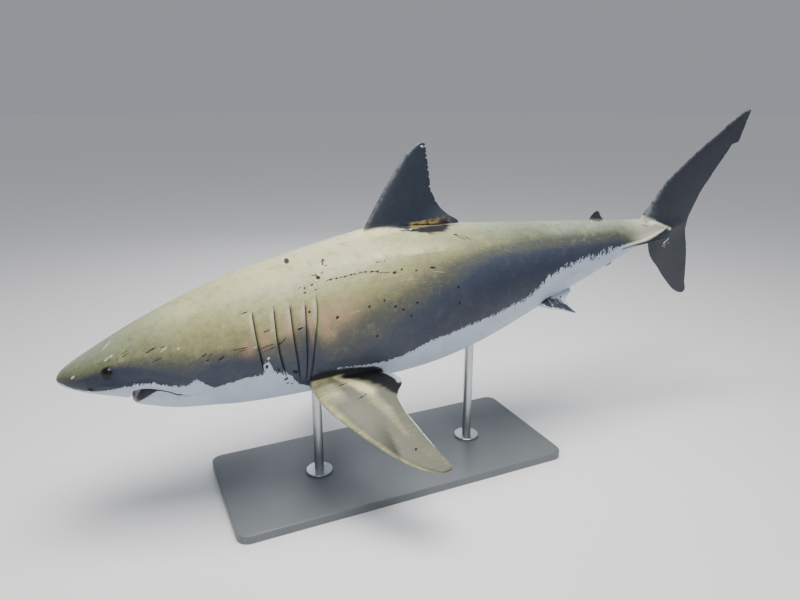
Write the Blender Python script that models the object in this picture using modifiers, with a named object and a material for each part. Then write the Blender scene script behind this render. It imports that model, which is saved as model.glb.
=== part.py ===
"""Great white shark, a still life-size display model on a plain two-rod stand.

The animal swims level with its nose a little down, the head turned slightly to its right and the
tail leaning to its left. Lengths of the animal are shares of its total length, measured on a
straight body: s runs back from the snout tip, y to the animal's left, z up. One bend then lays
the straight body along a gently curved centreline, and one rigid move sets it over its stand.
Frame: +X to the snout, +Y to the animal's left, +Z up, origin under the middle of the base.
"""

import bpy
import bmesh
import numpy as np

# ---- whole animal -------------------------------------------------------------------------
TOTAL_LENGTH = 4.20          # m, snout tip to the tip of the upper tail lobe
GAP = 0.0003                 # m, air between neighbouring solids
HEIGHT = 1.02                # m, centreline above the floor, below the rear of the dorsal fin
NOSE_DOWN = 6.6              # degrees
HEAD_TURN = -1.08            # rad per length squared, ahead of the straight middle
TAIL_TURN = -0.086           # rad per length squared, behind it
TAIL_LIFT = 0.06             # rad per length squared, behind it
STRAIGHT_FROM = 0.35
TAIL_TWIST = 13.3            # degrees the tail leans to the left
TWIST_SPAN = (0.55, 0.90)
REFERENCE = 0.45             # share of length that stands over the middle of the base
OVER_BASE = -0.25            # m, how far ahead of the middle of the base that place is

# ---- body profile: share of length, top, underside, half width, level of greatest width -----
STATIONS = (
    (0.000, 0.0000, 0.0000, 0.0000, 0.000),    # snout tip
    (0.010, 0.0124, 0.0100, 0.0130, 0.000),
    (0.032, 0.0225, 0.0195, 0.0275, -0.001),   # nostril
    (0.060, 0.0340, 0.0285, 0.0405, -0.003),   # eye
    (0.100, 0.0488, 0.0440, 0.0535, -0.006),
    (0.150, 0.0637, 0.0640, 0.0658, -0.006),
    (0.210, 0.0775, 0.0752, 0.0758, -0.004),   # first gill slit
    (0.280, 0.0865, 0.0830, 0.0812, 0.000),    # last gill slit
    (0.350, 0.0933, 0.0900, 0.0828, 0.002),
    (0.410, 0.0945, 0.0933, 0.0816, 0.002),    # under the dorsal fin
    (0.490, 0.0804, 0.0872, 0.0748, 0.002),
    (0.570, 0.0657, 0.0702, 0.0615, 0.002),    # ahead of the pelvic fins
    (0.650, 0.0515, 0.0505, 0.0468, 0.001),
    (0.730, 0.0365, 0.0306, 0.0320, 0.000),    # second dorsal fin
    (0.790, 0.0252, 0.0160, 0.0215, 0.000),
    (0.830, 0.0195, 0.0120, 0.0155, 0.000),    # narrowest of the stem
    (0.870, 0.0130, 0.0110, 0.0085, 0.000),
)
STEM_END = 0.868
KEEL_WIDTH = 0.0135          # how far each side keel stands out of the stem
KEEL_RISE = (0.745, 0.822)
KEEL_FALL = (0.832, 0.866)
CHIN_DROP = 0.0085           # how far the chin hangs below the line of the snout
CHIN_SPAN = (0.066, 0.080)
CHIN_FADE = (0.100, 0.160)
ROUND_SIDE = 0.90            # exponents of the cross-section, 1 is an ellipse
ROUND_TOP = 0.95

# ---- where the body is divided into its named parts ---------------------------------------
CUT_NECK = 0.200
CUT_SHOULDER = 0.292
CUT_MIDDLE = 0.500
CUT_VENT = 0.680

# ---- mouth: a U seen from below; q is s less U_BOW times y squared ---------------------------
U_BOW = 5.5
UPPER_LIP = ((0.0610, -0.0340), (0.0632, -0.0220), (0.0655, -0.0120), (0.0725, -0.0105),
             (0.0800, -0.0115), (0.0875, -0.0145), (0.0950, -0.0185), (0.1025, -0.0245), (0.1500, -0.0255))
LOWER_LIP = ((0.0676, -0.0700), (0.0686, -0.0370), (0.0700, -0.0305), (0.0730, -0.0265), (0.0765, -0.0230),
             (0.0807, -0.0187), (0.0849, -0.0155), (0.0875, -0.0157), (0.0950, -0.0197), (0.1025, -0.0257),
             (0.1500, -0.0267))
MOUTH_CORNER = 0.1235
BOW_LIMIT = 0.0215           # the most that the sides of the U run back
JAW_HINGE_SLOPE = 0.35
LIP_PLACES = (0.0640, 0.0670, 0.0690, 0.0715, 0.0780, 0.0900, 0.0990)   # rows of a lip between its points
CUT_HALF_WIDTH = 0.075       # a lip's cutting block reaches past the head on both sides
CUT_BOTTOM = -0.12

# ---- teeth: pointed blades along the U of each jaw ------------------------------------------
UPPER_TEETH = 7              # each side
LOWER_TEETH = 6
TOOTH_HEIGHT = 0.021         # m, the tallest
TOOTH_WIDTH = 0.017
TOOTH_THICK = 0.006
FIRST_TOOTH = 0.0045         # share of length from the middle of the jaw to the first tooth
BACK_TOOTH_LOSS = 0.45       # how much smaller the last tooth is than the first
TOOTH_ROOT = 0.0022          # share of length that a root is sunk in the jaw
TOOTH_LEAN = 0.0008          # share of length that a point leans back

# ---- eye and nostril ------------------------------------------------------------------------
EYE_AT = 0.0572
EYE_TURN = 68.0              # degrees down from the top of the section
EYE_RADIUS = 0.0270          # m
EYE_PROUD = 0.0105           # m of the ball outside the head, so that 43 mm of it shows
NOSTRIL_AT = 0.0354
NOSTRIL_TURN = 111.0
NOSTRIL_SIZE = (0.028, 0.010, 0.009)   # m, length, width, depth
NOSTRIL_SLANT = 0.5          # radians that the slit leans from the snout's length

# ---- gill slits: share of length at the top and the foot, and the turn of both ends -----------
GILL_SLITS = ((0.2100, 0.2085, 50.0, 102.0), (0.2330, 0.2300, 52.0, 112.0), (0.2500, 0.2455, 54.0, 116.0),
              (0.2665, 0.2525, 56.0, 120.0), (0.2800, 0.2570, 53.0, 126.0))
SLIT_WIDTH = 0.0045          # m
SLIT_DEPTH = 0.016           # m
SLIT_STEPS = 6               # sections of a slit's cutter from top to foot
SLIT_PROUD = 0.006           # m that the cutter stands out of the skin
SLIT_LEAN = 0.5              # how far back a slit runs for each metre that it goes in

# ---- fins: outlines as (span, front edge, rear edge) in shares of length ---------------------
EDGE = 0.0011                # m, half the thickness of a rear edge
DORSAL = ((-0.0120, 0.3580, 0.4480), (0.0026, 0.3695, 0.4510), (0.0034, 0.3700, 0.4960),
          (0.0060, 0.3720, 0.4955), (0.0134, 0.3775, 0.4842), (0.0230, 0.3850, 0.4762),
          (0.0360, 0.3950, 0.4706), (0.0500, 0.4060, 0.4668), (0.0650, 0.4178, 0.4654),
          (0.0780, 0.4286, 0.4646), (0.0880, 0.4380, 0.4638), (0.0950, 0.4458, 0.4636),
          (0.0995, 0.4522, 0.4636), (0.1013, 0.4565, 0.4618))
DORSAL_HALF = (0.0085, 0.0012)
DORSAL_CURL = 0.0100         # how far its free rear tip hangs over to the left
CURL_ALONG = (0.440, 0.490)
CURL_SPAN = (0.000, 0.030)
SECOND_DORSAL = ((-0.0050, 0.7040, 0.7275), (0.0012, 0.7080, 0.7290), (0.0018, 0.7084, 0.7362),
                 (0.0040, 0.7098, 0.7330), (0.0075, 0.7120, 0.7288), (0.0110, 0.7150, 0.7268),
                 (0.0138, 0.7182, 0.7256), (0.0148, 0.7205, 0.7240))
SECOND_DORSAL_HALF = (0.0018, 0.0007)
ANAL = ((-0.0050, 0.7180, 0.7440), (0.0012, 0.7230, 0.7460), (0.0018, 0.7235, 0.7600),
        (0.0050, 0.7275, 0.7580), (0.0090, 0.7360, 0.7575), (0.0125, 0.7450, 0.7580),
        (0.0138, 0.7500, 0.7575))
ANAL_HALF = (0.0016, 0.0006)
TAIL_SPLIT = 0.0030          # level where the two tail lobes part
UPPER_LOBE = ((0.0030, 0.8260, 0.9030), (0.0200, 0.8020, 0.9045), (0.0320, 0.8070, 0.9088),
              (0.0500, 0.8205, 0.9158), (0.0660, 0.8310, 0.9262), (0.0800, 0.8432, 0.9345),
              (0.0930, 0.8586, 0.9432), (0.1050, 0.8738, 0.9512), (0.1135, 0.8856, 0.9562),
              (0.1150, 0.8878, 0.9680), (0.1240, 0.9018, 0.9702), (0.1340, 0.9182, 0.9722),
              (0.1440, 0.9336, 0.9742), (0.1520, 0.9465, 0.9758), (0.1575, 0.9566, 0.9768),
              (0.1598, 0.9622, 0.9772), (0.1612, 0.9668, 0.9772), (0.1620, 0.9712, 0.9766))
LOWER_LOBE = ((-0.0030, 0.8260, 0.9005), (0.0120, 0.8262, 0.9000), (0.0250, 0.8285, 0.9032),
              (0.0400, 0.8335, 0.9088), (0.0550, 0.8430, 0.9134), (0.0700, 0.8562, 0.9172),
              (0.0850, 0.8675, 0.9204), (0.1000, 0.8798, 0.9234), (0.1130, 0.8910, 0.9258),
              (0.1240, 0.9012, 0.9290), (0.1320, 0.9105, 0.9318), (0.1370, 0.9185, 0.9325),
              (0.1388, 0.9240, 0.9300))
LOBE_HALF = (0.0095, 0.0013)
LOBE_TAPER = 0.040
PECTORAL = ((-0.0250, -0.0090, 0.0660), (-0.0047, -0.0040, 0.0708), (0.0078, -0.0020, 0.0890),
            (0.0180, 0.0000, 0.0985), (0.0245, 0.0014, 0.1020), (0.0305, 0.0034, 0.1004),
            (0.0400, 0.0074, 0.0915), (0.0500, 0.0124, 0.0888), (0.0685, 0.0228, 0.0898),
            (0.0880, 0.0346, 0.0936), (0.1080, 0.0474, 0.0982), (0.1250, 0.0602, 0.1028),
            (0.1380, 0.0732, 0.1068), (0.1470, 0.0858, 0.1094), (0.1520, 0.0975, 0.1098))
PECTORAL_HALF = (0.0066, 0.0010)
PECTORAL_ROOT = (0.2620, 135.0)
PECTORAL_DROOP = 32.0
PELVIC = ((-0.0260, -0.0120, 0.0440), (-0.0180, -0.0080, 0.0580), (-0.0120, -0.0055, 0.0665),
          (-0.0060, -0.0030, 0.0575), (0.0020, 0.0018, 0.0472), (0.0100, 0.0118, 0.0448),
          (0.0180, 0.0265, 0.0446), (0.0255, 0.0370, 0.0452), (0.0290, 0.0415, 0.0455))
PELVIC_HALF = (0.0026, 0.0007)
PELVIC_ROOT = (0.5900, 135.0)
PELVIC_DROOP = 25.0

# ---- stand ----------------------------------------------------------------------------------
BASE_SIZE = (1.90, 0.80, 0.045)
BASE_CORNER = 0.060
BASE_EDGE = 0.006
ROD_RADIUS = 0.026
FLANGE_RADIUS = 0.075
FLANGE_HEIGHT = 0.014
FLANGE_FILLET = 0.004
ROD_FRONT_X = 0.42
ROD_REAR_X = -0.52

# ---- how finely round shapes are made -----------------------------------------------------
AROUND = 30
CHORD = 7
ROD_SIDES = 24
SHARP_ANGLE = 40.0           # degrees, edges sharper than this are not shaded smooth


def spline(xs, ys, x):
    """A natural cubic spline through the points, so neighbouring spans share their curvature."""
    xs, ys = np.asarray(xs, float), np.asarray(ys, float)
    h = np.diff(xs)
    n = len(xs)
    a, b = np.eye(n), np.zeros(n)
    for i in range(1, n - 1):
        a[i, i - 1:i + 2] = h[i - 1], 2 * (h[i - 1] + h[i]), h[i]
        b[i] = 6 * ((ys[i + 1] - ys[i]) / h[i] - (ys[i] - ys[i - 1]) / h[i - 1])
    m = np.linalg.solve(a, b)
    x = np.clip(np.asarray(x, float), xs[0], xs[-1])
    i = np.clip(np.searchsorted(xs, x, side="right") - 1, 0, n - 2)
    left, right = x - xs[i], xs[i + 1] - x
    return ((m[i] * right ** 3 + m[i + 1] * left ** 3) / (6 * h[i])
            + (ys[i] / h[i] - m[i] * h[i] / 6) * right + (ys[i + 1] / h[i] - m[i + 1] * h[i] / 6) * left)


def ramp(low, high, x):
    t = np.clip((np.asarray(x, float) - low) / (high - low), 0, 1)
    return t * t * (3 - 2 * t)


def profile(column, s):
    """One column of STATIONS at s; the square root of s keeps the snout round."""
    xs = np.sqrt([row[0] for row in STATIONS])
    value = spline(xs, [row[column] for row in STATIONS], np.sqrt(s))
    if column == 2:
        value = value + CHIN_DROP * ramp(*CHIN_SPAN, s) * (1 - ramp(*CHIN_FADE, s))
    return value


def section(s, turn, grow=0.0):
    """y and z of the body's surface at s, turn radians from the top towards the left."""
    top, under, half, level = (profile(k, s) for k in (1, 2, 3, 4))
    c, n = np.cos(turn), np.sin(turn)
    keel = KEEL_WIDTH * ramp(*KEEL_RISE, s) * (1 - 0.9 * ramp(*KEEL_FALL, s)) * np.exp(-(c / 0.26) ** 2)
    y = np.sign(n) * ((half + grow) * np.abs(n) ** ROUND_SIDE + keel)
    reach = np.where(c >= 0, top + grow - level, under + grow + level)
    return y, level + np.sign(c) * reach * np.abs(c) ** ROUND_TOP


def centreline():
    s = np.linspace(0, 1.1, 441)
    ahead, behind = np.clip(STRAIGHT_FROM - s, 0, None), np.clip(s - STRAIGHT_FROM, 0, None)
    yaw = HEAD_TURN * ahead ** 2 + TAIL_TURN * behind ** 2
    lift = TAIL_LIFT * behind ** 2
    back = np.stack([-np.cos(yaw) * np.cos(lift), -np.sin(yaw) * np.cos(lift), np.sin(lift)], -1)
    line = np.zeros((len(s), 3))
    line[1:] = np.cumsum((back[1:] + back[:-1]) / 2 * (s[1] - s[0]), 0)
    return s, line, yaw, lift


LINE_S, LINE, LINE_YAW, LINE_LIFT = centreline()


def posed(points):
    """Straight-body points (s, y, z) in shares of length to places over the stand, in metres."""
    p = np.asarray(points, float).reshape(-1, 3)
    line = np.stack([np.interp(p[:, 0], LINE_S, LINE[:, k]) for k in range(3)], -1)
    yaw = np.interp(p[:, 0], LINE_S, LINE_YAW)
    lift = np.interp(p[:, 0], LINE_S, LINE_LIFT)
    back = np.stack([-np.cos(yaw) * np.cos(lift), -np.sin(yaw) * np.cos(lift), np.sin(lift)], -1)
    side = np.stack([-np.sin(yaw), np.cos(yaw), 0 * yaw], -1)
    up = np.cross(side, back)
    lean = np.radians(TAIL_TWIST) * ramp(*TWIST_SPAN, p[:, 0])[:, None]
    leaning_side = side * np.cos(lean) - up * np.sin(lean)
    leaning_up = up * np.cos(lean) + side * np.sin(lean)
    middle = np.array([np.interp(REFERENCE, LINE_S, LINE[:, k]) for k in range(3)])
    out = (line - middle + p[:, 1:2] * leaning_side + p[:, 2:3] * leaning_up) * TOTAL_LENGTH
    c, n = np.cos(np.radians(NOSE_DOWN)), np.sin(np.radians(NOSE_DOWN))
    x, z = out[:, 0] * c + out[:, 2] * n, -out[:, 0] * n + out[:, 2] * c
    return np.stack([x + OVER_BASE, out[:, 1], z + HEIGHT], -1)


# ---- scene and materials --------------------------------------------------------------------
for old in list(bpy.data.objects):
    bpy.data.objects.remove(old, do_unlink=True)
SHARK = bpy.data.collections.new("great_white_shark")
CUTTERS = bpy.data.collections.new("cutters")
CUTTERS.hide_render = True
bpy.context.scene.collection.children.link(SHARK)
bpy.context.scene.collection.children.link(CUTTERS)

BACK_GREY = (0.30, 0.30, 0.22)
FIN_GREY = (0.16, 0.17, 0.18)
BELLY_WHITE = (0.72, 0.74, 0.76)


def material(name, colour, roughness, metallic=0.0):
    made = bpy.data.materials.new(name)
    made.use_nodes = True
    shader = made.node_tree.nodes["Principled BSDF"]
    shader.inputs["Base Color"].default_value = (*colour, 1.0)
    shader.inputs["Roughness"].default_value = roughness
    shader.inputs["Metallic"].default_value = metallic
    return made


def keep(name, mesh, colour=None, roughness=0.5, metallic=0.0):
    """Adds a mesh to the shark with its own material, or to the cutters when it has no colour."""
    obj = bpy.data.objects.new(name, mesh)
    if colour is None:
        CUTTERS.objects.link(obj)
        obj.hide_render = True
        obj.display_type = "WIRE"
    else:
        SHARK.objects.link(obj)
        mesh.materials.append(material(name, colour, roughness, metallic))
    return obj


def finish(name, bm):
    bmesh.ops.remove_doubles(bm, verts=bm.verts, dist=1e-6)
    bmesh.ops.recalc_face_normals(bm, faces=bm.faces)
    mesh = bpy.data.meshes.new(name)
    bm.to_mesh(mesh)
    bm.free()
    mesh.shade_smooth()
    mesh.set_sharp_from_angle(angle=np.radians(SHARP_ANGLE))
    return mesh


def loft(bm, rings, tip=None):
    """Skins rings of points from first to last and closes both ends; tip is a point before them."""
    made = [[bm.verts.new(p) for p in ring] for ring in rings]
    count = len(made[0])
    for a, b in zip(made, made[1:]):
        for i in range(count):
            j = (i + 1) % count
            bm.faces.new((a[i], a[j], b[j], b[i]))
    if tip is None:
        bm.faces.new(made[0][::-1])
    else:
        point = bm.verts.new(tip)
        for i in range(count):
            bm.faces.new((point, made[0][(i + 1) % count], made[0][i]))
    bm.faces.new(made[-1])


def body_piece(name, start, end, grow=0.0):
    """A length of the body between two places, or from the snout tip when start is nothing."""
    turns = np.linspace(0, 2 * np.pi, AROUND, endpoint=False)
    inner = PLACES[(PLACES > (start or 0)) & (PLACES < end)]
    places = [*inner, end] if start is None else [start, *inner, end]
    rings = []
    for s in places:
        y, z = section(np.full(AROUND, s), turns, grow)
        rings.append(posed(np.stack([np.full(AROUND, s), y, z], -1)))
    bm = bmesh.new()
    loft(bm, rings, posed([(-grow, 0, 0)])[0] if start is None else None)
    return finish(name, bm)


def cut(obj, cutter, operation="DIFFERENCE"):
    modifier = obj.modifiers.new(operation.lower() + "_" + cutter.name, "BOOLEAN")
    modifier.operation = operation
    modifier.solver = "EXACT"
    modifier.object = cutter


# ---- fins -----------------------------------------------------------------------------------
def thickness(c):
    """Half thickness along a fin's chord, 1 at the thickest, round in front and fine behind."""
    return (0.2969 * np.sqrt(c) - 0.1260 * c - 0.3516 * c ** 2 + 0.2843 * c ** 3 - 0.1036 * c ** 4) / 0.1


def fin_mesh(name, outline, halves, place, taper=None):
    """Lofts fin sections; place turns (span, along, across) into a straight-body point."""
    edge = EDGE / TOTAL_LENGTH
    reach = outline[-1][0]
    chord = (1 - np.cos(np.linspace(0, np.pi, CHORD))) / 2
    rings = []
    for v, front, rear in outline:
        share = np.clip(v / reach, 0, 1)
        half = halves[0] + (halves[1] - halves[0]) * share if taper is None else (
            halves[1] + (halves[0] - halves[1]) * np.exp(-max(v, 0) / taper))
        half = min(half, 0.22 * (rear - front))
        across = half * thickness(chord) + edge * (1 - (1 - chord) ** 8)
        along = front + (rear - front) * chord
        ring = [place(v, p, w) for p, w in zip(along, across)]
        ring += [place(v, p, -w) for p, w in zip(along[::-1][:-1], across[::-1][:-1])]
        rings.append(posed(ring))
    bm = bmesh.new()
    loft(bm, rings)
    return finish(name, bm)


def on_back(span, along, across):
    return along, across, float(profile(1, along)) + span


def curled_on_back(span, along, across):
    curl = DORSAL_CURL * ramp(*CURL_ALONG, along) * (1 - ramp(*CURL_SPAN, span))
    return along, across + float(curl), float(profile(1, along)) + span


def on_belly(span, along, across):
    return along, across, -float(profile(2, along)) - span


def upper_tail(span, along, across):
    return along, across, span


def lower_tail(span, along, across):
    return along, across, -span


def paired(root, droop, side):
    """Place for a paired fin: its chord lies along the body and its span droops outwards."""
    y, z = section(np.array(root[0]), np.radians(root[1]))
    c, n = np.cos(np.radians(droop)), np.sin(np.radians(droop))

    def place(span, along, across):
        return root[0] + along, side * (float(y) + span * c + across * n), float(z) - span * n + across * c
    return place


# ---- the animal -----------------------------------------------------------------------------
half_gap = GAP / 2 / TOTAL_LENGTH
CUTS = [c + d for c in (CUT_NECK, CUT_SHOULDER, CUT_MIDDLE, CUT_VENT) for d in (-half_gap, half_gap)]
PLACES = np.array(sorted([0.0006, *np.linspace(0.06, np.sqrt(0.19), 16) ** 2, *CUTS,
                          *np.linspace(0.215, 0.277, 4), *np.linspace(0.312, 0.480, 8),
                          *np.linspace(0.522, 0.658, 6), *np.linspace(0.700, 0.856, 10), STEM_END]))
AIR = GAP / TOTAL_LENGTH
grown = keep("body_with_gap", body_piece("body_with_gap", None, STEM_END + AIR, AIR))

head = keep("head", body_piece("head", None, CUTS[0]), BACK_GREY, 0.45)
jaw = keep("lower_jaw", body_piece("lower_jaw", 0.060, 0.175), BELLY_WHITE, 0.45)
gills = keep("gill_region", body_piece("gill_region", CUTS[1], CUTS[2]), BACK_GREY, 0.45)
keep("trunk_front", body_piece("trunk_front", CUTS[3], CUTS[4]), BACK_GREY, 0.45)
keep("trunk_rear", body_piece("trunk_rear", CUTS[5], CUTS[6]), BACK_GREY, 0.45)
keep("tail_stem", body_piece("tail_stem", CUTS[7], STEM_END), BACK_GREY, 0.45)


def below_lip(name, lip, corner):
    """Everything below a lip line, ahead of the hinge; the front of the U bows forward."""
    q_line, z_line = [p[0] for p in lip], [p[1] for p in lip]
    across = np.linspace(-CUT_HALF_WIDTH, CUT_HALF_WIDTH, 13)
    along = np.array(sorted({*q_line[:-1], *LIP_PLACES}))
    along = along[along >= q_line[0]]
    bm = bmesh.new()
    tops, lows = [], []
    for q in list(along) + [None]:
        row_top, row_low = [], []
        for y in across:
            bow = min(U_BOW * y * y, BOW_LIMIT)
            s = corner if q is None else min(q + bow, corner - 1e-5 * (len(along) - list(along).index(q)))
            z = np.interp(s - bow, q_line, z_line)
            row_top.append(bm.verts.new(posed([(s, y, z)])[0]))
            hinge = JAW_HINGE_SLOPE * (s - q_line[0]) / (corner - q_line[0])
            row_low.append(bm.verts.new(posed([(s + (z - CUT_BOTTOM) * hinge, y, CUT_BOTTOM)])[0]))
        tops.append(row_top)
        lows.append(row_low)
    for grid, flip in ((tops, False), (lows, True)):
        for a, b in zip(grid, grid[1:]):
            for i in range(len(across) - 1):
                ring = (a[i], a[i + 1], b[i + 1], b[i])
                bm.faces.new(ring[::-1] if flip else ring)
    for a, b in ((tops[0], lows[0]), (tops[-1], lows[-1]),
                 ([r[0] for r in tops], [r[0] for r in lows]),
                 ([r[-1] for r in tops], [r[-1] for r in lows])):
        for i in range(len(a) - 1):
            bm.faces.new((a[i], a[i + 1], b[i + 1], b[i]))
    return keep(name, finish(name, bm))


cut(head, below_lip("under_upper_lip", UPPER_LIP, MOUTH_CORNER + AIR))
cut(jaw, below_lip("under_lower_lip", LOWER_LIP, MOUTH_CORNER), "INTERSECT")


def tooth_row(name, count, lip, start, end, inset, down):
    """Pointed blades spaced along one jaw's U, root in the jaw; down is -1 for the upper row."""
    q_line, z_line = [p[0] for p in lip], [p[1] for p in lip]
    bm = bmesh.new()
    for side in (-1, 1):
        for i in range(count):
            share = i / (count - 1)
            y = FIRST_TOOTH + (end - FIRST_TOOTH) * share
            q = start + inset * share
            s = q + U_BOW * y * y
            z = np.interp(q, q_line, z_line)
            size = 1.0 - BACK_TOOTH_LOSS * share
            half = TOOTH_WIDTH * size / 2 / TOTAL_LENGTH
            deep = TOOTH_THICK * size / 2 / TOTAL_LENGTH
            high = TOOTH_HEIGHT * size / TOTAL_LENGTH
            run = np.array([2 * U_BOW * y, 1.0])
            run /= np.hypot(*run)
            corners = [(s + run[0] * a * half - run[1] * b * deep,
                        side * (y + run[1] * a * half + run[0] * b * deep), z - down * TOOTH_ROOT)
                       for a, b in ((-1, -1), (1, -1), (1, 1), (-1, 1))]
            ring = [bm.verts.new(p) for p in posed(corners)]
            point = bm.verts.new(posed([(s + TOOTH_LEAN, side * y, z + down * high)])[0])
            bm.faces.new(ring)
            for k in range(4):
                bm.faces.new((ring[(k + 1) % 4], ring[k], point))
    return keep(name, finish(name, bm))


cut(head, tooth_row("upper_teeth", UPPER_TEETH, UPPER_LIP, 0.0685, 0.0330, 0.006, -1), "UNION")
cut(jaw, tooth_row("lower_teeth", LOWER_TEETH, LOWER_LIP, 0.0712, 0.0300, 0.005, 1), "UNION")


def ball(name, centre, radius, colour=None, roughness=0.1):
    bm = bmesh.new()
    bmesh.ops.create_uvsphere(bm, u_segments=14, v_segments=8, radius=radius)
    bmesh.ops.translate(bm, verts=bm.verts, vec=centre)
    return keep(name, finish(name, bm), colour, roughness)


def surface(s, degrees):
    """A place on the body and the outward direction there, in metres."""
    def at(a, b):
        y, z = section(np.array(a), np.array(b))
        return posed([(a, float(y), float(z))])[0]
    turn = np.radians(degrees)
    along = at(s + 1e-4, turn) - at(s - 1e-4, turn)
    round_ = at(s, turn + 1e-3) - at(s, turn - 1e-3)
    normal = np.cross(along, round_)
    normal /= np.linalg.norm(normal)
    inside = posed([(s, 0, 0)])[0]
    place = at(s, turn)
    if np.dot(normal, place - inside) < 0:
        normal = -normal
    return place, normal, along / np.linalg.norm(along)


for side_name, sign in (("left", 1), ("right", -1)):
    spot, outward, _ = surface(EYE_AT, sign * EYE_TURN)
    centre = spot + outward * (EYE_PROUD - EYE_RADIUS)
    ball("eye_" + side_name, centre, EYE_RADIUS, (0.01, 0.01, 0.012))
    cut(head, ball("eye_socket_" + side_name, centre, EYE_RADIUS + GAP))
    spot, outward, along = surface(NOSTRIL_AT, sign * NOSTRIL_TURN)
    bm = bmesh.new()
    bmesh.ops.create_uvsphere(bm, u_segments=12, v_segments=8, radius=0.5)
    third = np.cross(outward, along)
    long_way = along * np.cos(NOSTRIL_SLANT) + third * np.sin(NOSTRIL_SLANT) * sign
    wide_way = -along * np.sin(NOSTRIL_SLANT) * sign + third * np.cos(NOSTRIL_SLANT)
    for vert in bm.verts:
        vert.co = spot + (long_way * vert.co.x * NOSTRIL_SIZE[0] + wide_way * vert.co.y * NOSTRIL_SIZE[1]
                          + outward * vert.co.z * 2 * NOSTRIL_SIZE[2])
    cut(head, keep("nostril_" + side_name, finish("nostril_" + side_name, bm)))

for side_name, sign in (("left", 1), ("right", -1)):
    bm = bmesh.new()
    for s_top, s_foot, turn_top, turn_foot in GILL_SLITS:
        rings = []
        for share in np.linspace(0, 1, SLIT_STEPS):
            s = s_top + (s_foot - s_top) * share
            turn = turn_top + (turn_foot - turn_top) * share
            spot, outward, along = surface(s, sign * turn)
            depth = SLIT_DEPTH * (0.25 + 0.75 * np.sin(np.pi * (0.06 + 0.88 * share)) ** 0.5)
            width = SLIT_WIDTH * (0.4 + 0.6 * np.sin(np.pi * (0.04 + 0.92 * share)) ** 0.5)
            mouth = spot + outward * SLIT_PROUD
            bottom = spot - outward * depth + along * SLIT_LEAN * depth
            rings.append([mouth - along * width / 2, mouth + along * width / 2,
                          bottom + along * width / 4, bottom - along * width / 4])
        loft(bm, rings)
    cut(gills, keep("gill_slits_" + side_name, finish("gill_slits_" + side_name, bm)))

FINS = (
    ("dorsal_fin", DORSAL, DORSAL_HALF, curled_on_back, None),
    ("second_dorsal_fin", SECOND_DORSAL, SECOND_DORSAL_HALF, on_back, None),
    ("anal_fin", ANAL, ANAL_HALF, on_belly, None),
    ("tail_lobe_upper", UPPER_LOBE, LOBE_HALF, upper_tail, LOBE_TAPER),
    ("tail_lobe_lower", LOWER_LOBE, LOBE_HALF, lower_tail, LOBE_TAPER),
    ("pectoral_fin_left", PECTORAL, PECTORAL_HALF, paired(PECTORAL_ROOT, PECTORAL_DROOP, 1), None),
    ("pectoral_fin_right", PECTORAL, PECTORAL_HALF, paired(PECTORAL_ROOT, PECTORAL_DROOP, -1), None),
    ("pelvic_fin_left", PELVIC, PELVIC_HALF, paired(PELVIC_ROOT, PELVIC_DROOP, 1), None),
    ("pelvic_fin_right", PELVIC, PELVIC_HALF, paired(PELVIC_ROOT, PELVIC_DROOP, -1), None),
)
for name, outline, halves, place, taper in FINS:
    rows = outline
    if name == "tail_lobe_upper":
        rows = ((TAIL_SPLIT + half_gap, *outline[0][1:]),) + outline[1:]
    if name == "tail_lobe_lower":
        rows = ((-TAIL_SPLIT + half_gap, *outline[0][1:]),) + outline[1:]
    fin = keep(name, fin_mesh(name, rows, halves, place, taper=taper), FIN_GREY, 0.45)
    cut(fin, grown)

# ---- the stand ------------------------------------------------------------------------------
bm = bmesh.new()
bmesh.ops.create_cube(bm, size=1.0)
bmesh.ops.scale(bm, vec=BASE_SIZE, verts=bm.verts)
bmesh.ops.translate(bm, vec=(0, 0, BASE_SIZE[2] / 2), verts=bm.verts)
upright = [e for e in bm.edges if abs(e.verts[0].co.z - e.verts[1].co.z) > BASE_SIZE[2] / 2]
bmesh.ops.bevel(bm, geom=upright, offset=BASE_CORNER, segments=5, affect="EDGES", profile=0.5)
rim = [e for e in bm.edges if min(v.co.z for v in e.verts) > BASE_SIZE[2] - 1e-4 and len(e.link_faces) == 2
       and any(abs(f.normal.z) < 0.5 for f in e.link_faces)]
bmesh.ops.bevel(bm, geom=rim, offset=BASE_EDGE, segments=2, affect="EDGES", profile=0.5)
keep("stand_base", finish("stand_base", bm), (0.20, 0.21, 0.22), 0.5)

foot = BASE_SIZE[2] + GAP
rod_top = HEIGHT - foot      # inside the belly, where the body with its gap cuts it off
ROD_OUTLINE = ((0, rod_top), (ROD_RADIUS, rod_top), (ROD_RADIUS, FLANGE_HEIGHT),
               (FLANGE_RADIUS - FLANGE_FILLET, FLANGE_HEIGHT), (FLANGE_RADIUS, FLANGE_HEIGHT - FLANGE_FILLET),
               (FLANGE_RADIUS, 0), (0, 0))
placed_line = posed(np.stack([LINE_S, 0 * LINE_S, 0 * LINE_S], -1))[::-1]
for name, x in (("stand_rod_front", ROD_FRONT_X), ("stand_rod_rear", ROD_REAR_X)):
    mesh = bpy.data.meshes.new(name)
    links = [(i, i + 1) for i in range(len(ROD_OUTLINE) - 1)]
    mesh.from_pydata([(r, 0, z) for r, z in ROD_OUTLINE], links, [])
    rod = keep(name, mesh, (0.62, 0.63, 0.65), 0.3, 1.0)
    rod.location = (x, float(np.interp(x, placed_line[:, 0], placed_line[:, 1])), foot)
    turned = rod.modifiers.new("turned", "SCREW")
    turned.steps = turned.render_steps = ROD_SIDES
    turned.use_merge_vertices = True
    turned.merge_threshold = 0.0001
    turned.use_smooth_shade = True
    cut(rod, grown)
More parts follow.
